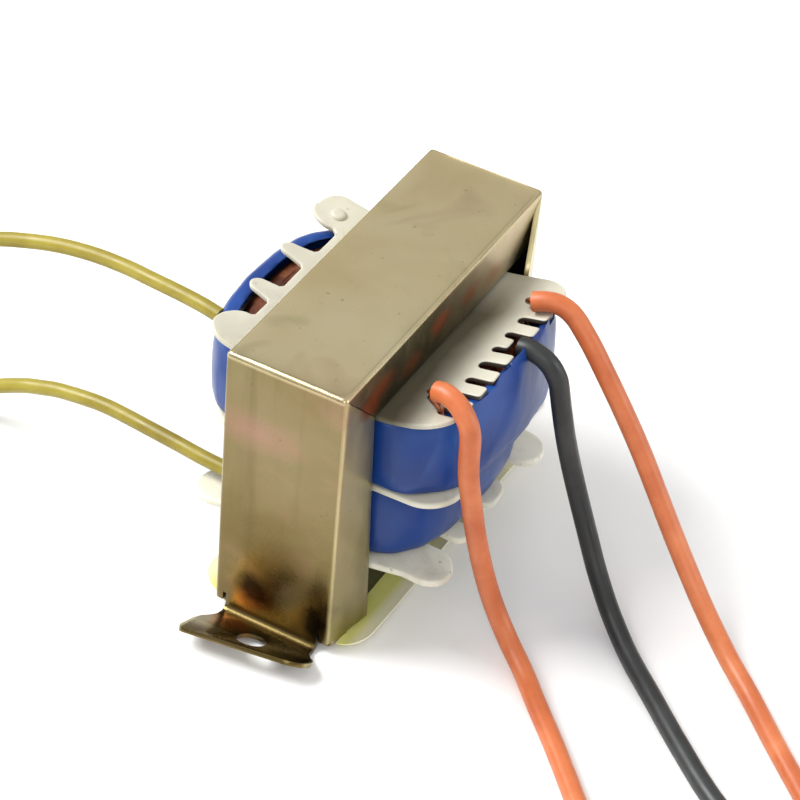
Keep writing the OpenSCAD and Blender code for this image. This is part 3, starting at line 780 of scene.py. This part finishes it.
def finger(x0, x1, y1, r, base, side):
    """Rounded finger's outline, walked with +X falling on the +Y side and rising on the -Y side."""
    if side > 0:
        return [(x1, base)] + arc2(x1 - r, y1 - r, r, 0, 90) + arc2(x0 + r, y1 - r, r, 90, 180) + [(x0, base)]
    return [(x0, -base)] + arc2(x0 + r, -(y1 - r), r, 180, 270) + arc2(x1 - r, -(y1 - r), r, 270, 360) + [(x1, -base)]


def plate(bm_all, outline, z0, th, bev, shape):
    """A moulded plate from its outline: rounded edges, then bent by shape."""
    pts = []
    for p in outline:
        if not pts or (Vector(p) - Vector(pts[-1])).length > 0.02:
            pts.append(p)
    if (Vector(pts[0]) - Vector(pts[-1])).length < 0.02:
        pts.pop()
    bm = bmesh.new()
    vs = [bm.verts.new((x * MM, y * MM, z0 * MM)) for x, y in pts]
    f = bm.faces.new(vs)
    f.normal_update()
    if f.normal.z > 0:
        f.normal_flip()
    ext = bmesh.ops.extrude_face_region(bm, geom=[f])
    bmesh.ops.translate(bm, vec=(0, 0, th * MM), verts=[g for g in ext["geom"] if isinstance(g, bmesh.types.BMVert)])
    bmesh.ops.recalc_face_normals(bm, faces=bm.faces)
    rim = [e for e in bm.edges if abs(e.verts[0].co.z - e.verts[1].co.z) < 1e-7]
    bmesh.ops.bevel(bm, geom=rim, offset=bev * MM, segments=3, profile=0.5, affect="EDGES", clamp_overlap=True)
    bmesh.ops.triangulate(bm, faces=[f for f in bm.faces if len(f.verts) > 4], quad_method="BEAUTY", ngon_method="BEAUTY")
    for axis, lo, hi, st in ((1, -16.0, 16.0, 1.0), (0, -15.0, 15.0, 1.5)):
        t = lo
        while t <= hi:
            co = [0, 0, 0]
            no = [0, 0, 0]
            co[axis] = (t + 0.013) * MM
            no[axis] = 1.0
            bmesh.ops.bisect_plane(bm, geom=bm.verts[:] + bm.edges[:] + bm.faces[:], plane_co=co, plane_no=no, dist=1e-7)
            t += st
    for v in bm.verts:
        v.co = Vector(shape(*(v.co / MM))) * MM
    bmesh.ops.triangulate(bm, faces=[f for f in bm.faces if len(f.verts) > 4])
    tmp = bpy.data.meshes.new("tmp")
    bm.to_mesh(tmp)
    bm.free()
    bm_all.from_mesh(tmp)
    bpy.data.meshes.remove(tmp)


def splayed(side, a):
    t = math.tan(math.radians(a))
    return t


SLOTS = [-10.9 + 2.9 * i for i in range(8)]


def comb_edge(x):
    if x < -9.6:
        return -10.3 - math.sqrt(max(0.0, 4.5 ** 2 - (x + 9.6) ** 2))
    if x > 10.8:
        return -11.2 - math.sqrt(max(0.0, 3.7 ** 2 - (x - 10.8) ** 2))
    if 1.15 < x < 3.15:
        return -13.4
    return -14.8 - 0.1 * (x + 9.6) / 20.4


def top_outline():
    out = [(14.2, 0.0), (14.4, 7.0)]
    out += arc2(12.0, 12.8, 2.4, 0, 90, 9) + arc2(11.6, 12.8, 2.6, 90, 185, 9)
    out += [(9.2, 11.9), (8.8, 11.35), (8.3, 11.2), (5.0, 11.2), (4.6, 11.5)] + arc2(3.2, 13.5, 1.15, 0, 180, 12)
    out += [(1.8, 11.5), (1.4, 11.2), (-2.1, 11.2), (-2.5, 11.5)] + arc2(-3.75, 13.1, 1.15, 0, 180, 12)
    out += [(-5.1, 11.5), (-5.5, 11.2), (-7.9, 11.2), (-8.2, 11.5)] + arc2(-10.6, 11.6, 2.4, 0, 90, 8) + arc2(-11.2, 11.6, 2.4, 90, 180, 8)
    out += [(-13.8, 7.0), (-14.2, 0.0), (-14.25, -6.3)]
    out += [(-14.15, -9.0)] + [p for p in arc2(-9.6, -10.3, 4.5, 180, 238, 8)]
    hw = 0.53
    for x in SLOTS:
        out += [(x - hw - 0.4, comb_edge(x - hw - 0.4)), (x - hw - 0.12, comb_edge(x - hw) + 0.1), (x - hw, comb_edge(x - hw) + 0.4)]
        out += [(x - hw, -12.5)] + arc2(x, -12.5, hw, 180, 0, 6) + [(x + hw, -12.5)]
        out += [(x + hw, comb_edge(x + hw) + 0.4), (x + hw + 0.12, comb_edge(x + hw) + 0.1), (x + hw + 0.4, comb_edge(x + hw + 0.4))]
    out += [p for p in arc2(10.8, -11.2, 3.7, -90, 0, 9)] + [(14.2, -6.3)]
    return out


def low_outline():
    out = []
    f = [(8.9, 14.2, 14.5, 2.4), (0.9, 5.2, 13.8, 1.6), (-5.7, -2.9, 13.9, 1.3), (-14.7, -8.9, 14.6, 2.6)]
    for x0, x1, y1, r in f:
        out += finger(x0, x1, y1, r, 10.8, 1)
    out += [(-14.4, 7.0), (-14.4, -7.0)]
    for x0, x1, y1, r in [(-13.3, -7.9, 15.1, 2.5), (-5.7, -2.9, 13.9, 1.3), (0.9, 5.2, 13.8, 1.6), (8.9, 14.2, 14.5, 2.4)]:
        out += finger(x0, x1, y1, r, 10.8, -1)
    out += [(14.3, -7.0), (14.3, 7.0)]
    return out


def top_shape(x, y, z):
    t = math.tan(math.radians(12.4))
    d = max(0.0, abs(y) - OY)
    k = d * d / (d + 0.8) if d > 0 else 0.0
    zz = z + t * (k + 0.25 * smooth01(d / 3.0))
    zz += 0.16 * wave(x, y, 0.0, 0.16, 1.3) * smooth01(d / 3.0)
    if y < -11.4:
        i = round((x + 10.9 - 1.45) / 2.9)
        zz += (0.10 * math.sin(2.3 * i + 0.7)) * smooth01((-y - 11.2) / 2.6)
    if y > 11.2:
        zz += 0.22 * math.sin(0.9 * x + 0.4) * smooth01((y - 11.0) / 2.6) - 0.04 * (y - 11.2)
    mid = z - 27.4
    puff = 1.0 - 0.05 * smooth01((d - 1.0) / 4.0)
    return (x, y, zz + mid * (puff - 1.0))


def low_shape(x, y, z):
    t = math.tan(math.radians(5.2))
    d = max(0.0, abs(y) - OY)
    k = d * d / (d + 0.8) if d > 0 else 0.0
    zz = z - t * k + 0.14 * wave(x, y, 3.0, 0.17, 5.0) * smooth01(d / 3.0)
    zz -= 0.12 * math.sin(1.1 * x) * smooth01((d - 4.0) / 3.0)
    return (x, y, zz + (z - 7.6) * 0.18 * smooth01((d - 1.0) / 4.0))


def mid_shape(x, y, z):
    return (x, y, z + 0.1 * wave(x, y, 9.0, 0.2, 2.0))


bob = bmesh.new()
plate(bob, top_outline(), 27.2, 0.7, 0.22, top_shape)
plate(bob, low_outline(), 7.35, 0.75, 0.24, low_shape)
mo = arc2(7.9, 8.6, 6.0, 0, 90, 12) + arc2(-7.9, 8.6, 6.0, 90, 180, 12) + arc2(-9.3, -10.8, 4.1, 180, 268, 12) + [(-7.6, -14.8), (-5.8, -14.5), (-4.0, -14.2)] + arc2(8.6, -8.9, 5.3, 270, 360, 12)
plate(bob, mo, 17.2, 0.75, 0.24, mid_shape)
# tube through the windings
prof = []
for hx, hy, z in ((6.7, 6.6, 7.15), (6.7, 6.6, 27.85), (7.58, 7.48, 27.85), (7.58, 7.48, 7.15)):
    r = 0.5
    ring = arc2(hx - r, hy - r, r, 0, 90, 3) + arc2(-hx + r, hy - r, r, 90, 180, 3) + arc2(-hx + r, -hy + r, r, 180, 270, 3) + arc2(hx - r, -hy + r, r, 270, 360, 3)
    prof.append([bob.verts.new((x * MM, y * MM, z * MM)) for x, y in ring])
for i in range(4):
    a, b2 = prof[i], prof[(i + 1) % 4]
    for j in range(len(a)):
        k2 = (j + 1) % len(a)
        bob.faces.new((a[j], b2[j], b2[k2], a[k2]))
# ejector-pin pad on the far rear finger
tc = Vector((11.3, 12.4))
zc = top_shape(11.3, 12.4, 27.9)[2]
rings = []
for r, h in ((0.92, -0.35), (0.9, 0.1), (0.86, 0.28), (0.74, 0.4), (0.5, 0.46), (0.2, 0.47)):
    rings.append([bob.verts.new(((tc.x + r * math.cos(a)) * MM, (tc.y + r * math.sin(a)) * MM, (zc + h + 0.2 * r * math.sin(a)) * MM))
                  for a in [2 * math.pi * j / 28 for j in range(28)]])
for a, b2 in zip(rings, rings[1:]):
    for j in range(28):
        bob.faces.new((a[j], a[(j + 1) % 28], b2[(j + 1) % 28], b2[j]))
bob.faces.new(rings[0][::-1])
bob.faces.new(rings[-1])
piece("bobbin_moulding", bob, M["nylon"], ("bobbin",), 44)

# ---------------------------------------------------------------------------
# windings


def copper_mat():
    mat, nt, b = new_mat("enamelled_copper")
    v = coords(nt)
    n1 = noise(nt, v, 420.0, 4.0)
    col = ramp(nt, n1, [(0.3, lin(92, 48, 30)), (0.5, lin(140, 76, 46)), (0.72, lin(186, 116, 76))])
    col = mixc(nt, rng(nt, noise(nt, v, 130.0, 3.0), 0.5, 0.7, 0.0, 0.6), col, lin(70, 36, 26))
    nt.links.new(col, b.inputs["Base Color"])
    b.inputs["Metallic"].default_value = 0.85
    nt.links.new(rng(nt, n1, 0.3, 0.7, 0.22, 0.4), b.inputs["Roughness"])
    b.inputs["Coat Weight"].default_value = 0.4
    b.inputs["Coat Roughness"].default_value = 0.2
    bump(nt, b, noise(nt, v, 1600.0, 3.0), 0.2, 0.00004)
    return mat


M["copper"] = copper_mat()


def outline_at(hx, hy, a, p=2.8):
    c, s = math.cos(a), math.sin(a)
    return (hx * math.copysign(abs(c) ** (2 / p), c), hy * math.copysign(abs(s) ** (2 / p), s))


def even_outline(hx, hy, n, p=2.8):
    """n points spaced evenly round a rounded block."""
    raw = [Vector(outline_at(hx, hy, 2 * math.pi * i / 720, p)) for i in range(720)]
    acc = [0.0]
    for i in range(720):
        acc.append(acc[-1] + (raw[(i + 1) % 720] - raw[i]).length)
    out = []
    j = 0
    for k in range(n):
        t = acc[-1] * k / n
        while acc[j + 1] < t:
            j += 1
        f = (t - acc[j]) / (acc[j + 1] - acc[j])
        out.append(raw[j].lerp(raw[(j + 1) % 720], f))
    return out


def winding(name, node_name, hx, hy, zb, zt, loops_top, loops_low, wire):
    bm = bmesh.new()
    n = 96
    # body of the coil: a rounded block, closed in to the tube at both ends
    prof = [(-5.4, zb + 0.02), (-0.9, zb + 0.02), (-0.25, zb + 0.3), (0.0, zb + 0.9)]
    m2 = 20
    for i in range(1, m2):
        prof.append((0.0, zb + 0.9 + (zt - zb - 1.8) * i / m2))
    prof += [(0.0, zt - 0.9), (-0.25, zt - 0.3), (-0.9, zt - 0.02), (-5.4, zt - 0.02)]
    rings = []
    for off, z in prof:
        if off < -5:
            o = even_outline(7.75, 7.7, n, 6.0)
        else:
            o = even_outline(hx - wire + off, hy - wire + off, n)
        rings.append([bm.verts.new((p.x * MM, p.y * MM, z * MM)) for p in o])
    for i in range(len(rings)):
        a, b2 = rings[i], rings[(i + 1) % len(rings)]
        for j in range(n):
            k = (j + 1) % n
            bm.faces.new((a[j], a[k], b2[k], b2[j]))
    # the end turns lie side by side
    for count, z, sgn in ((loops_top, zt, 1), (loops_low, zb, -1)):
        for i in range(count):
            off = 0.5 + i * wire * 1.04
            o = even_outline(hx - off, hy - off, 88, 2.8 + 0.05 * i)
            pts = []
            for q, p in enumerate(o):
                w1 = 0.35 * wire * wave(p.x, p.y, i * 1.7, 0.35, 3.0)
                w2 = 0.35 * wire * wave(p.x, p.y, i * 2.9, 0.5, 6.0)
                sag = 0.55 * smooth01(1.0 - i / 5.0)
                pts.append((p.x * (1 + w1 / 14), p.y * (1 + w1 / 14), z - sgn * (wire * 0.5 + sag) + w2))
            tube_mesh(bm, pts, wire * 0.5, 6, True)
    return piece(name, bm, M["copper"], (node_name,), 60)


winding("upper_coil", "upper_winding", 13.4, 14.9, 18.05, 26.7, 21, 0, 0.3)
winding("lower_coil", "lower_winding", 13.3, 12.4, 8.15, 16.95, 0, 14, 0.3)

# ---------------------------------------------------------------------------
# tape


def tape_mat():
    mat, nt, b = new_mat("blue_film_tape")
    v = coords(nt)
    n1 = noise(nt, v, 70.0, 3.0)
    col = ramp(nt, n1, [(0.3, lin(16, 46, 106)), (0.55, lin(22, 60, 130)), (0.78, lin(36, 80, 154))])
    # paler lines along the wrinkles and where the film lifts: a painted highlight
    wr = noise(nt, coords(nt, (260.0, 260.0, 70.0)), 1.0, 3.0, 0.6, 0.8)
    col = mixc(nt, rng(nt, wr, 0.6, 0.75, 0.0, 0.2), col, lin(72, 110, 174))
    nt.links.new(col, b.inputs["Base Color"])
    nt.links.new(rng(nt, n1, 0.3, 0.7, 0.26, 0.4), b.inputs["Roughness"])
    b.inputs["IOR"].default_value = 1.45
    b.inputs["Coat Weight"].default_value = 0.05
    b.inputs["Specular IOR Level"].default_value = 0.35
    b.inputs["Coat Roughness"].default_value = 0.12
    h = bump(nt, b, wr, 0.25, 0.00022)
    bump(nt, b, noise(nt, v, 420.0, 3.0), 0.15, 0.00008, h)
    return mat


M["tape"] = tape_mat()


def tape_ring(a_f, outline, prof, n, amp, seed, rise=None, turn=99):
    bm = bmesh.new()
    rings = []
    cen = [Vector(p) for p in outline]
    nrm = []
    for i in range(n):
        t = (cen[(i + 1) % n] - cen[i - 1]).normalized()
        nrm.append(Vector((t.y, -t.x)))
    for step, (inset, z, k) in enumerate(prof):
        ring = []
        for i in range(n):
            p = cen[i] - nrm[i] * a_f(inset, i, cen[i])
            w = amp * k * (0.7 * wave(p.x, p.y, z, 0.3, seed) + 0.5 * wave(p.x, p.y, z * 0.4, 0.9, seed + 3))
            p = p + nrm[i] * w
            zz = z + 0.10 * k * wave(p.x, p.y, 2.0, 0.35, seed + 9)
            if rise:
                zz = rise(p.x, p.y, zz, 1.0 if step > turn else 0.0)
            ring.append(bm.verts.new((p.x * MM, p.y * MM, zz * MM)))
        rings.append(ring)
    for i in range(len(rings)):
        a, b2 = rings[i], rings[(i + 1) % len(rings)]
        for j in range(n):
            k = (j + 1) % n
            bm.faces.new((a[j], a[k], b2[k], b2[j]))
    bmesh.ops.recalc_face_normals(bm, faces=bm.faces)
    return bm


def resample(poly, n):
    """n evenly spaced points round a closed outline of straight runs, corners eased."""
    pts = [Vector(p) for p in poly]
    for _ in range(3):
        nxt = []
        for i in range(len(pts)):
            a, b2 = pts[i], pts[(i + 1) % len(pts)]
            nxt += [a.lerp(b2, 0.22), a.lerp(b2, 0.78)]
        pts = nxt
    m = len(pts)
    acc = [0.0]
    for i in range(m):
        acc.append(acc[-1] + (pts[(i + 1) % m] - pts[i]).length)
    out = []
    j = 0
    for k in range(n):
        t = acc[-1] * k / n
        while acc[j + 1] < t:
            j += 1
        f = (t - acc[j]) / max(1e-9, acc[j + 1] - acc[j])
        out.append(pts[j].lerp(pts[(j + 1) % m], f))
    return out


# the upper band bulges towards its middle and its lips fold in over the turns
UPPER = [(13.8, 0.0), (13.9, 7.5), (12.9, 12.2), (8.8, 15.8), (3.0, 16.9), (-3.0, 16.9), (-9.0, 15.9), (-12.9, 12.4), (-13.9, 7.5),
         (-13.9, -7.5), (-13.5, -10.6), (-9.6, -14.9), (-2.5, -16.05), (5.0, -16.1), (10.2, -15.3), (13.4, -12.0), (13.9, -7.5)]
up = resample(UPPER, 132)


def upper_inset(inset, i, p):
    # the lips reach further in behind than in front, and hardly at all at the sides
    if p.y > 0:
        lip = inset * 0.84
    else:
        lip = inset if inset < 0.5 else 0.5 + (inset - 0.5) * 0.42
    return lip * (0.5 if abs(p.y) < 8 and inset > 0.95 else 1.0)


def upper_rise(x, y, z, back):
    """In front the band stands up against the comb's teeth; behind, its lip lies flat."""
    plane = 27.2 + 0.22 * (abs(y) - OY)
    if y < 0:
        z += 2.9 * smooth01((z - 22.0) / 4.6) * smooth01((-y - 10.8) / 3.6)
        if y > -15.0 or z < plane:
            z = min(z, plane - 0.14 - 0.2 * back)
    else:
        z += 0.3 * smooth01((z - 25.5) / 1.2)
        z = min(z, plane - 0.14 - 0.2 * back)
    return z


prof = [(1.9, 18.12, 0.2), (0.5, 18.14, 0.6), (0.18, 18.5, 1.0), (0.08, 19.6, 1.0), (0.02, 21.0, 1.0), (0.0, 22.6, 1.0), (0.06, 24.0, 1.0),
        (0.2, 25.2, 1.0), (0.48, 26.1, 1.0), (0.95, 26.75, 1.0), (1.5, 27.05, 0.8), (2.2, 27.18, 0.6), (2.9, 27.15, 0.4), (3.0, 27.04, 0.4),
        (2.2, 27.0, 0.4), (1.5, 26.86, 0.5), (1.05, 26.5, 0.8), (0.75, 25.9, 1.0), (0.55, 25.0, 1.0), (0.45, 23.5, 1.0), (0.42, 21.5, 1.0),
        (0.5, 19.8, 1.0), (0.75, 18.8, 1.0), (1.3, 18.3, 0.4)]
bm = tape_ring(upper_inset, up, prof, 132, 0.16, 4.0, upper_rise, 13)
piece("upper_tape_band", bm, M["tape"], ("upper_tape",), 50)

LOWER = [(13.6, 0.0), (13.7, 6.5), (12.7, 10.2), (8.8, 12.6), (3.0, 13.1), (-3.0, 13.1), (-9.0, 12.6), (-12.8, 10.2), (-13.7, 6.5),
         (-13.7, -6.5), (-12.6, -9.2), (-9.2, -11.9), (-3.0, -12.9), (3.5, -13.0), (9.0, -12.5), (12.8, -10.0), (13.7, -6.5)]
lo_o = resample(LOWER, 120)
prof = [(1.5, 8.16, 0.2), (0.8, 8.22, 0.5), (0.35, 8.6, 1.0), (0.15, 9.4, 1.0), (0.0, 11.0, 1.0), (0.0, 13.2, 1.0), (0.1, 15.0, 1.0),
        (0.35, 16.2, 1.0), (0.8, 16.78, 0.5), (1.5, 16.92, 0.2), (1.5, 16.8, 0.2), (1.0, 16.5, 0.5), (0.65, 15.8, 1.0), (0.5, 14.0, 1.0),
        (0.45, 11.5, 1.0), (0.55, 9.6, 1.0), (0.8, 8.7, 0.8), (1.3, 8.32, 0.3)]
bm = tape_ring(lambda inset, i, p: inset, lo_o, prof, 120, 0.16, 11.0)
piece("lower_tape_band", bm, M["tape"], ("lower_tape",), 50)

# ---------------------------------------------------------------------------
# insulating film under the core


def film_mat():
    mat, nt, b = new_mat("insulating_film")
    v = coords(nt)
    n1 = noise(nt, v, 90.0, 3.0)
    sep = node(nt, "ShaderNodeSeparateXYZ")
    nt.links.new(v, sep.inputs[0])
    col = ramp(nt, n1, [(0.3, lin(206, 206, 112)), (0.55, lin(218, 217, 136)), (0.8, lin(228, 226, 160))])
    # paler towards its curled long edges: painted light showing through the thin film
    rim = rng(nt, mathn(nt, "ABSOLUTE", sep.outputs[1]), 0.0080, 0.0092, 0.0, 0.9)
    col = mixc(nt, rim, col, lin(238, 235, 210))
    nt.links.new(col, b.inputs["Base Color"])
    nt.links.new(rng(nt, n1, 0.3, 0.7, 0.15, 0.3), b.inputs["Roughness"])
    b.inputs["Transmission Weight"].default_value = 0.06
    b.inputs["IOR"].default_value = 1.45
    bump(nt, b, noise(nt, v, 240.0, 3.0), 0.2, 0.00012)
    return mat


M["film"] = film_mat()
bm = bmesh.new()
# grid lines lie on the slots' edges, where the strap's leg flanges pass through
SLOT_X, SLOT_Y = 17.6, (5.75, 7.2)
xh = [0.9 * k for k in range(19)] + [16.9, SLOT_X, 18.1, 18.6, 19.0, 19.35, 19.6, 19.8]
film_xs = [-a for a in reversed(xh[1:])] + xh


def film_rows(x):
    u = abs(x) / 19.8
    # rounded corners: rows shorten near the ends
    hy = 9.9 - (3.0 * (1 - math.sqrt(max(0.0, 1 - ((u - 0.85) / 0.15) ** 2))) if u > 0.85 else 0.0)
    hy = max(7.5, hy)
    half = [SLOT_Y[0] * k / 8 for k in range(9)] + [SLOT_Y[1] + (hy - SLOT_Y[1]) * k / 5 for k in range(6)]
    return [-a for a in reversed(half[1:])] + half


film_grid = []
for x in film_xs:
    line = []
    for y in film_rows(x):
        e = max(0.0, abs(y) - 7.4)
        z = 0.8 + 0.16 * e * e * (0.7 + 0.3 * math.sin(0.25 * x + 1.0)) * 0.6
        line.append(bm.verts.new((x * MM, y * MM, z * MM)))
    film_grid.append(line)
for i in range(len(film_xs) - 1):
    for j in range(len(film_grid[0]) - 1):
        if j in (5, 22) and min(abs(film_xs[i]), abs(film_xs[i + 1])) > SLOT_X - 0.01:
            continue
        bm.faces.new((film_grid[i][j], film_grid[i + 1][j], film_grid[i + 1][j + 1], film_grid[i][j + 1]))
film = piece("insulating_sheet", bm, M["film"], ("base_film",), 60)
md = film.modifiers.new("sheet", "SOLIDIFY")
md.thickness = 0.15 * MM
md.offset = 1.0
bake(film)
soften(film, 60)

# ---------------------------------------------------------------------------
# tinned strands at the leads' ends, and ties; three leads also show a little bare
# wire where it comes up from the coil, given from where the jacket begins
STUBS = {
    "orange_lead_1": [(0, -0.4, 0), (0, 0.1, 0), (0, 0.5, -0.12), (-0.03, 0.75, -0.45), (-0.08, 0.66, -0.92), (-0.13, 0.25, -1.25),
                      (-0.18, -0.3, -1.5), (-0.2, -0.75, -1.95), (-0.2, -0.9, -2.7), (-0.2, -0.9, -3.6)],
    "black_lead": [(0, -0.4, 0), (0, -0.05, 0), (0, 0.22, -0.12), (0, 0.38, -0.45), (0, 0.38, -1.0), (0, 0.4, -1.9)],
    "orange_lead_2": [(0, -0.4, 0.1), (0, 0.1, 0), (0.08, 0.45, -0.12), (0.3, 0.7, -0.42), (0.65, 0.72, -0.72), (0.95, 0.45, -0.85),
                      (1.08, 0.08, -1.1), (1.1, -0.1, -1.7), (1.1, -0.1, -3.0)],
}
for lead, k in LEADS.items():
    o, pts, tail_v, tail_end = CORD_PIECES[lead]
    d = k["d"]
    bm = bmesh.new()
    ax = tail_v.normalized()
    u = ax.cross(Vector((0, 0, 1))).normalized()
    w2 = ax.cross(u)
    sr = d * 0.45 / 6.2
    for s in range(7):
        path = []
        for i in range(25):
            t = i / 24
            a = 2 * math.pi * (s / 6 + 0.9 * t)
            rr = 0.0 if s == 6 else 2.0 * sr
            q = tail_end + ax * (-0.6 + 6.5 * t) + rr * (math.cos(a) * u + math.sin(a) * w2)
            path.append(q)
        tube_mesh(bm, path, sr, 8)
    if lead in STUBS:
        x0, y0, z0 = k["route"][0]
        old = len(bm.faces)
        tube_mesh(bm, [(x0 + a, y0 + b2, z0 + c) for a, b2, c in STUBS[lead]], 0.34, 10)
        bm.faces.ensure_lookup_table()
        for f in bm.faces[old:]:
            f.material_index = 1
    strands = piece(lead + "_strands", bm, M["tin"], (lead + "_conductor",), 60)
    strands.data.materials.append(M["copper"])
    dress(lead + "_tie", M["tie"])

for lead, k in LEADS.items():
    o, pts, tail_v, tail_end = CORD_PIECES[lead]
    ln = curve_length(pts) * MM
    print("LENGTH", lead, round(ln * 1000, 1))


# ---------------------------------------------------------------------------
# floor and light


def stage_mat():
    mat, nt, b = new_mat("stage_paper")
    v = coords(nt)
    n1 = noise(nt, v, 3.0, 2.0)
    nt.links.new(ramp(nt, n1, [(0.3, lin(244, 244, 243)), (0.7, lin(247, 247, 246))]), b.inputs["Base Color"])
    b.inputs["Roughness"].default_value = 0.9
    b.inputs["Specular IOR Level"].default_value = 0.1
    return mat


me = bpy.data.meshes.new("stage_floor")
me.from_pydata([(-6, -6, 0), (6, -6, 0), (6, 6, 0), (-6, 6, 0)], [], [(0, 1, 2, 3)])
floor = bpy.data.objects.new("stage_floor", me)
floor.location = (0, 0, -0.00002)
me.materials.append(stage_mat())
bpy.context.scene.collection.objects.link(floor)


def area(name, loc, target, size, power, col=(1, 1, 1)):
    ld = bpy.data.lights.new(name, "AREA")
    ld.shape = "RECTANGLE"
    ld.size, ld.size_y = size
    ld.energy = power
    ld.color = col
    o = bpy.data.objects.new(name, ld)
    o.location = loc
    d = Vector(target) - Vector(loc)
    o.rotation_euler = d.to_track_quat("-Z", "Y").to_euler()
    bpy.context.scene.collection.objects.link(o)
    return o


area("key", (-0.22, 0.6, 0.74), (0, 0, 0.02), (0.5, 0.5), 11.0)
area("fill", (-0.75, -0.35, 0.55), (0, 0, 0.02), (0.5, 0.6), 2.0)
area("side", (0.3, -0.85, 0.34), (0, 0, 0.01), (0.6, 0.45), 2.6)

w = bpy.data.worlds.new("studio")
bpy.context.scene.world = w
w.use_nodes = True
wn = w.node_tree
bg = wn.nodes["Background"]
wc = wn.nodes.new("ShaderNodeTexCoord")
ws = wn.nodes.new("ShaderNodeSeparateXYZ")
wn.links.new(wc.outputs["Generated"], ws.inputs[0])
wr = wn.nodes.new("ShaderNodeValToRGB")
wr.color_ramp.elements[0].position = 0.0
wr.color_ramp.elements[0].color = (0.42, 0.42, 0.42, 1)
wr.color_ramp.elements[1].position = 0.75
wr.color_ramp.elements[1].color = (1, 1, 1, 1)
wn.links.new(ws.outputs[2], wr.inputs["Fac"])
wn.links.new(wr.outputs["Color"], bg.inputs["Color"])
bg.inputs["Strength"].default_value = 0.8
bpy.context.scene.view_settings.view_transform = "Standard"
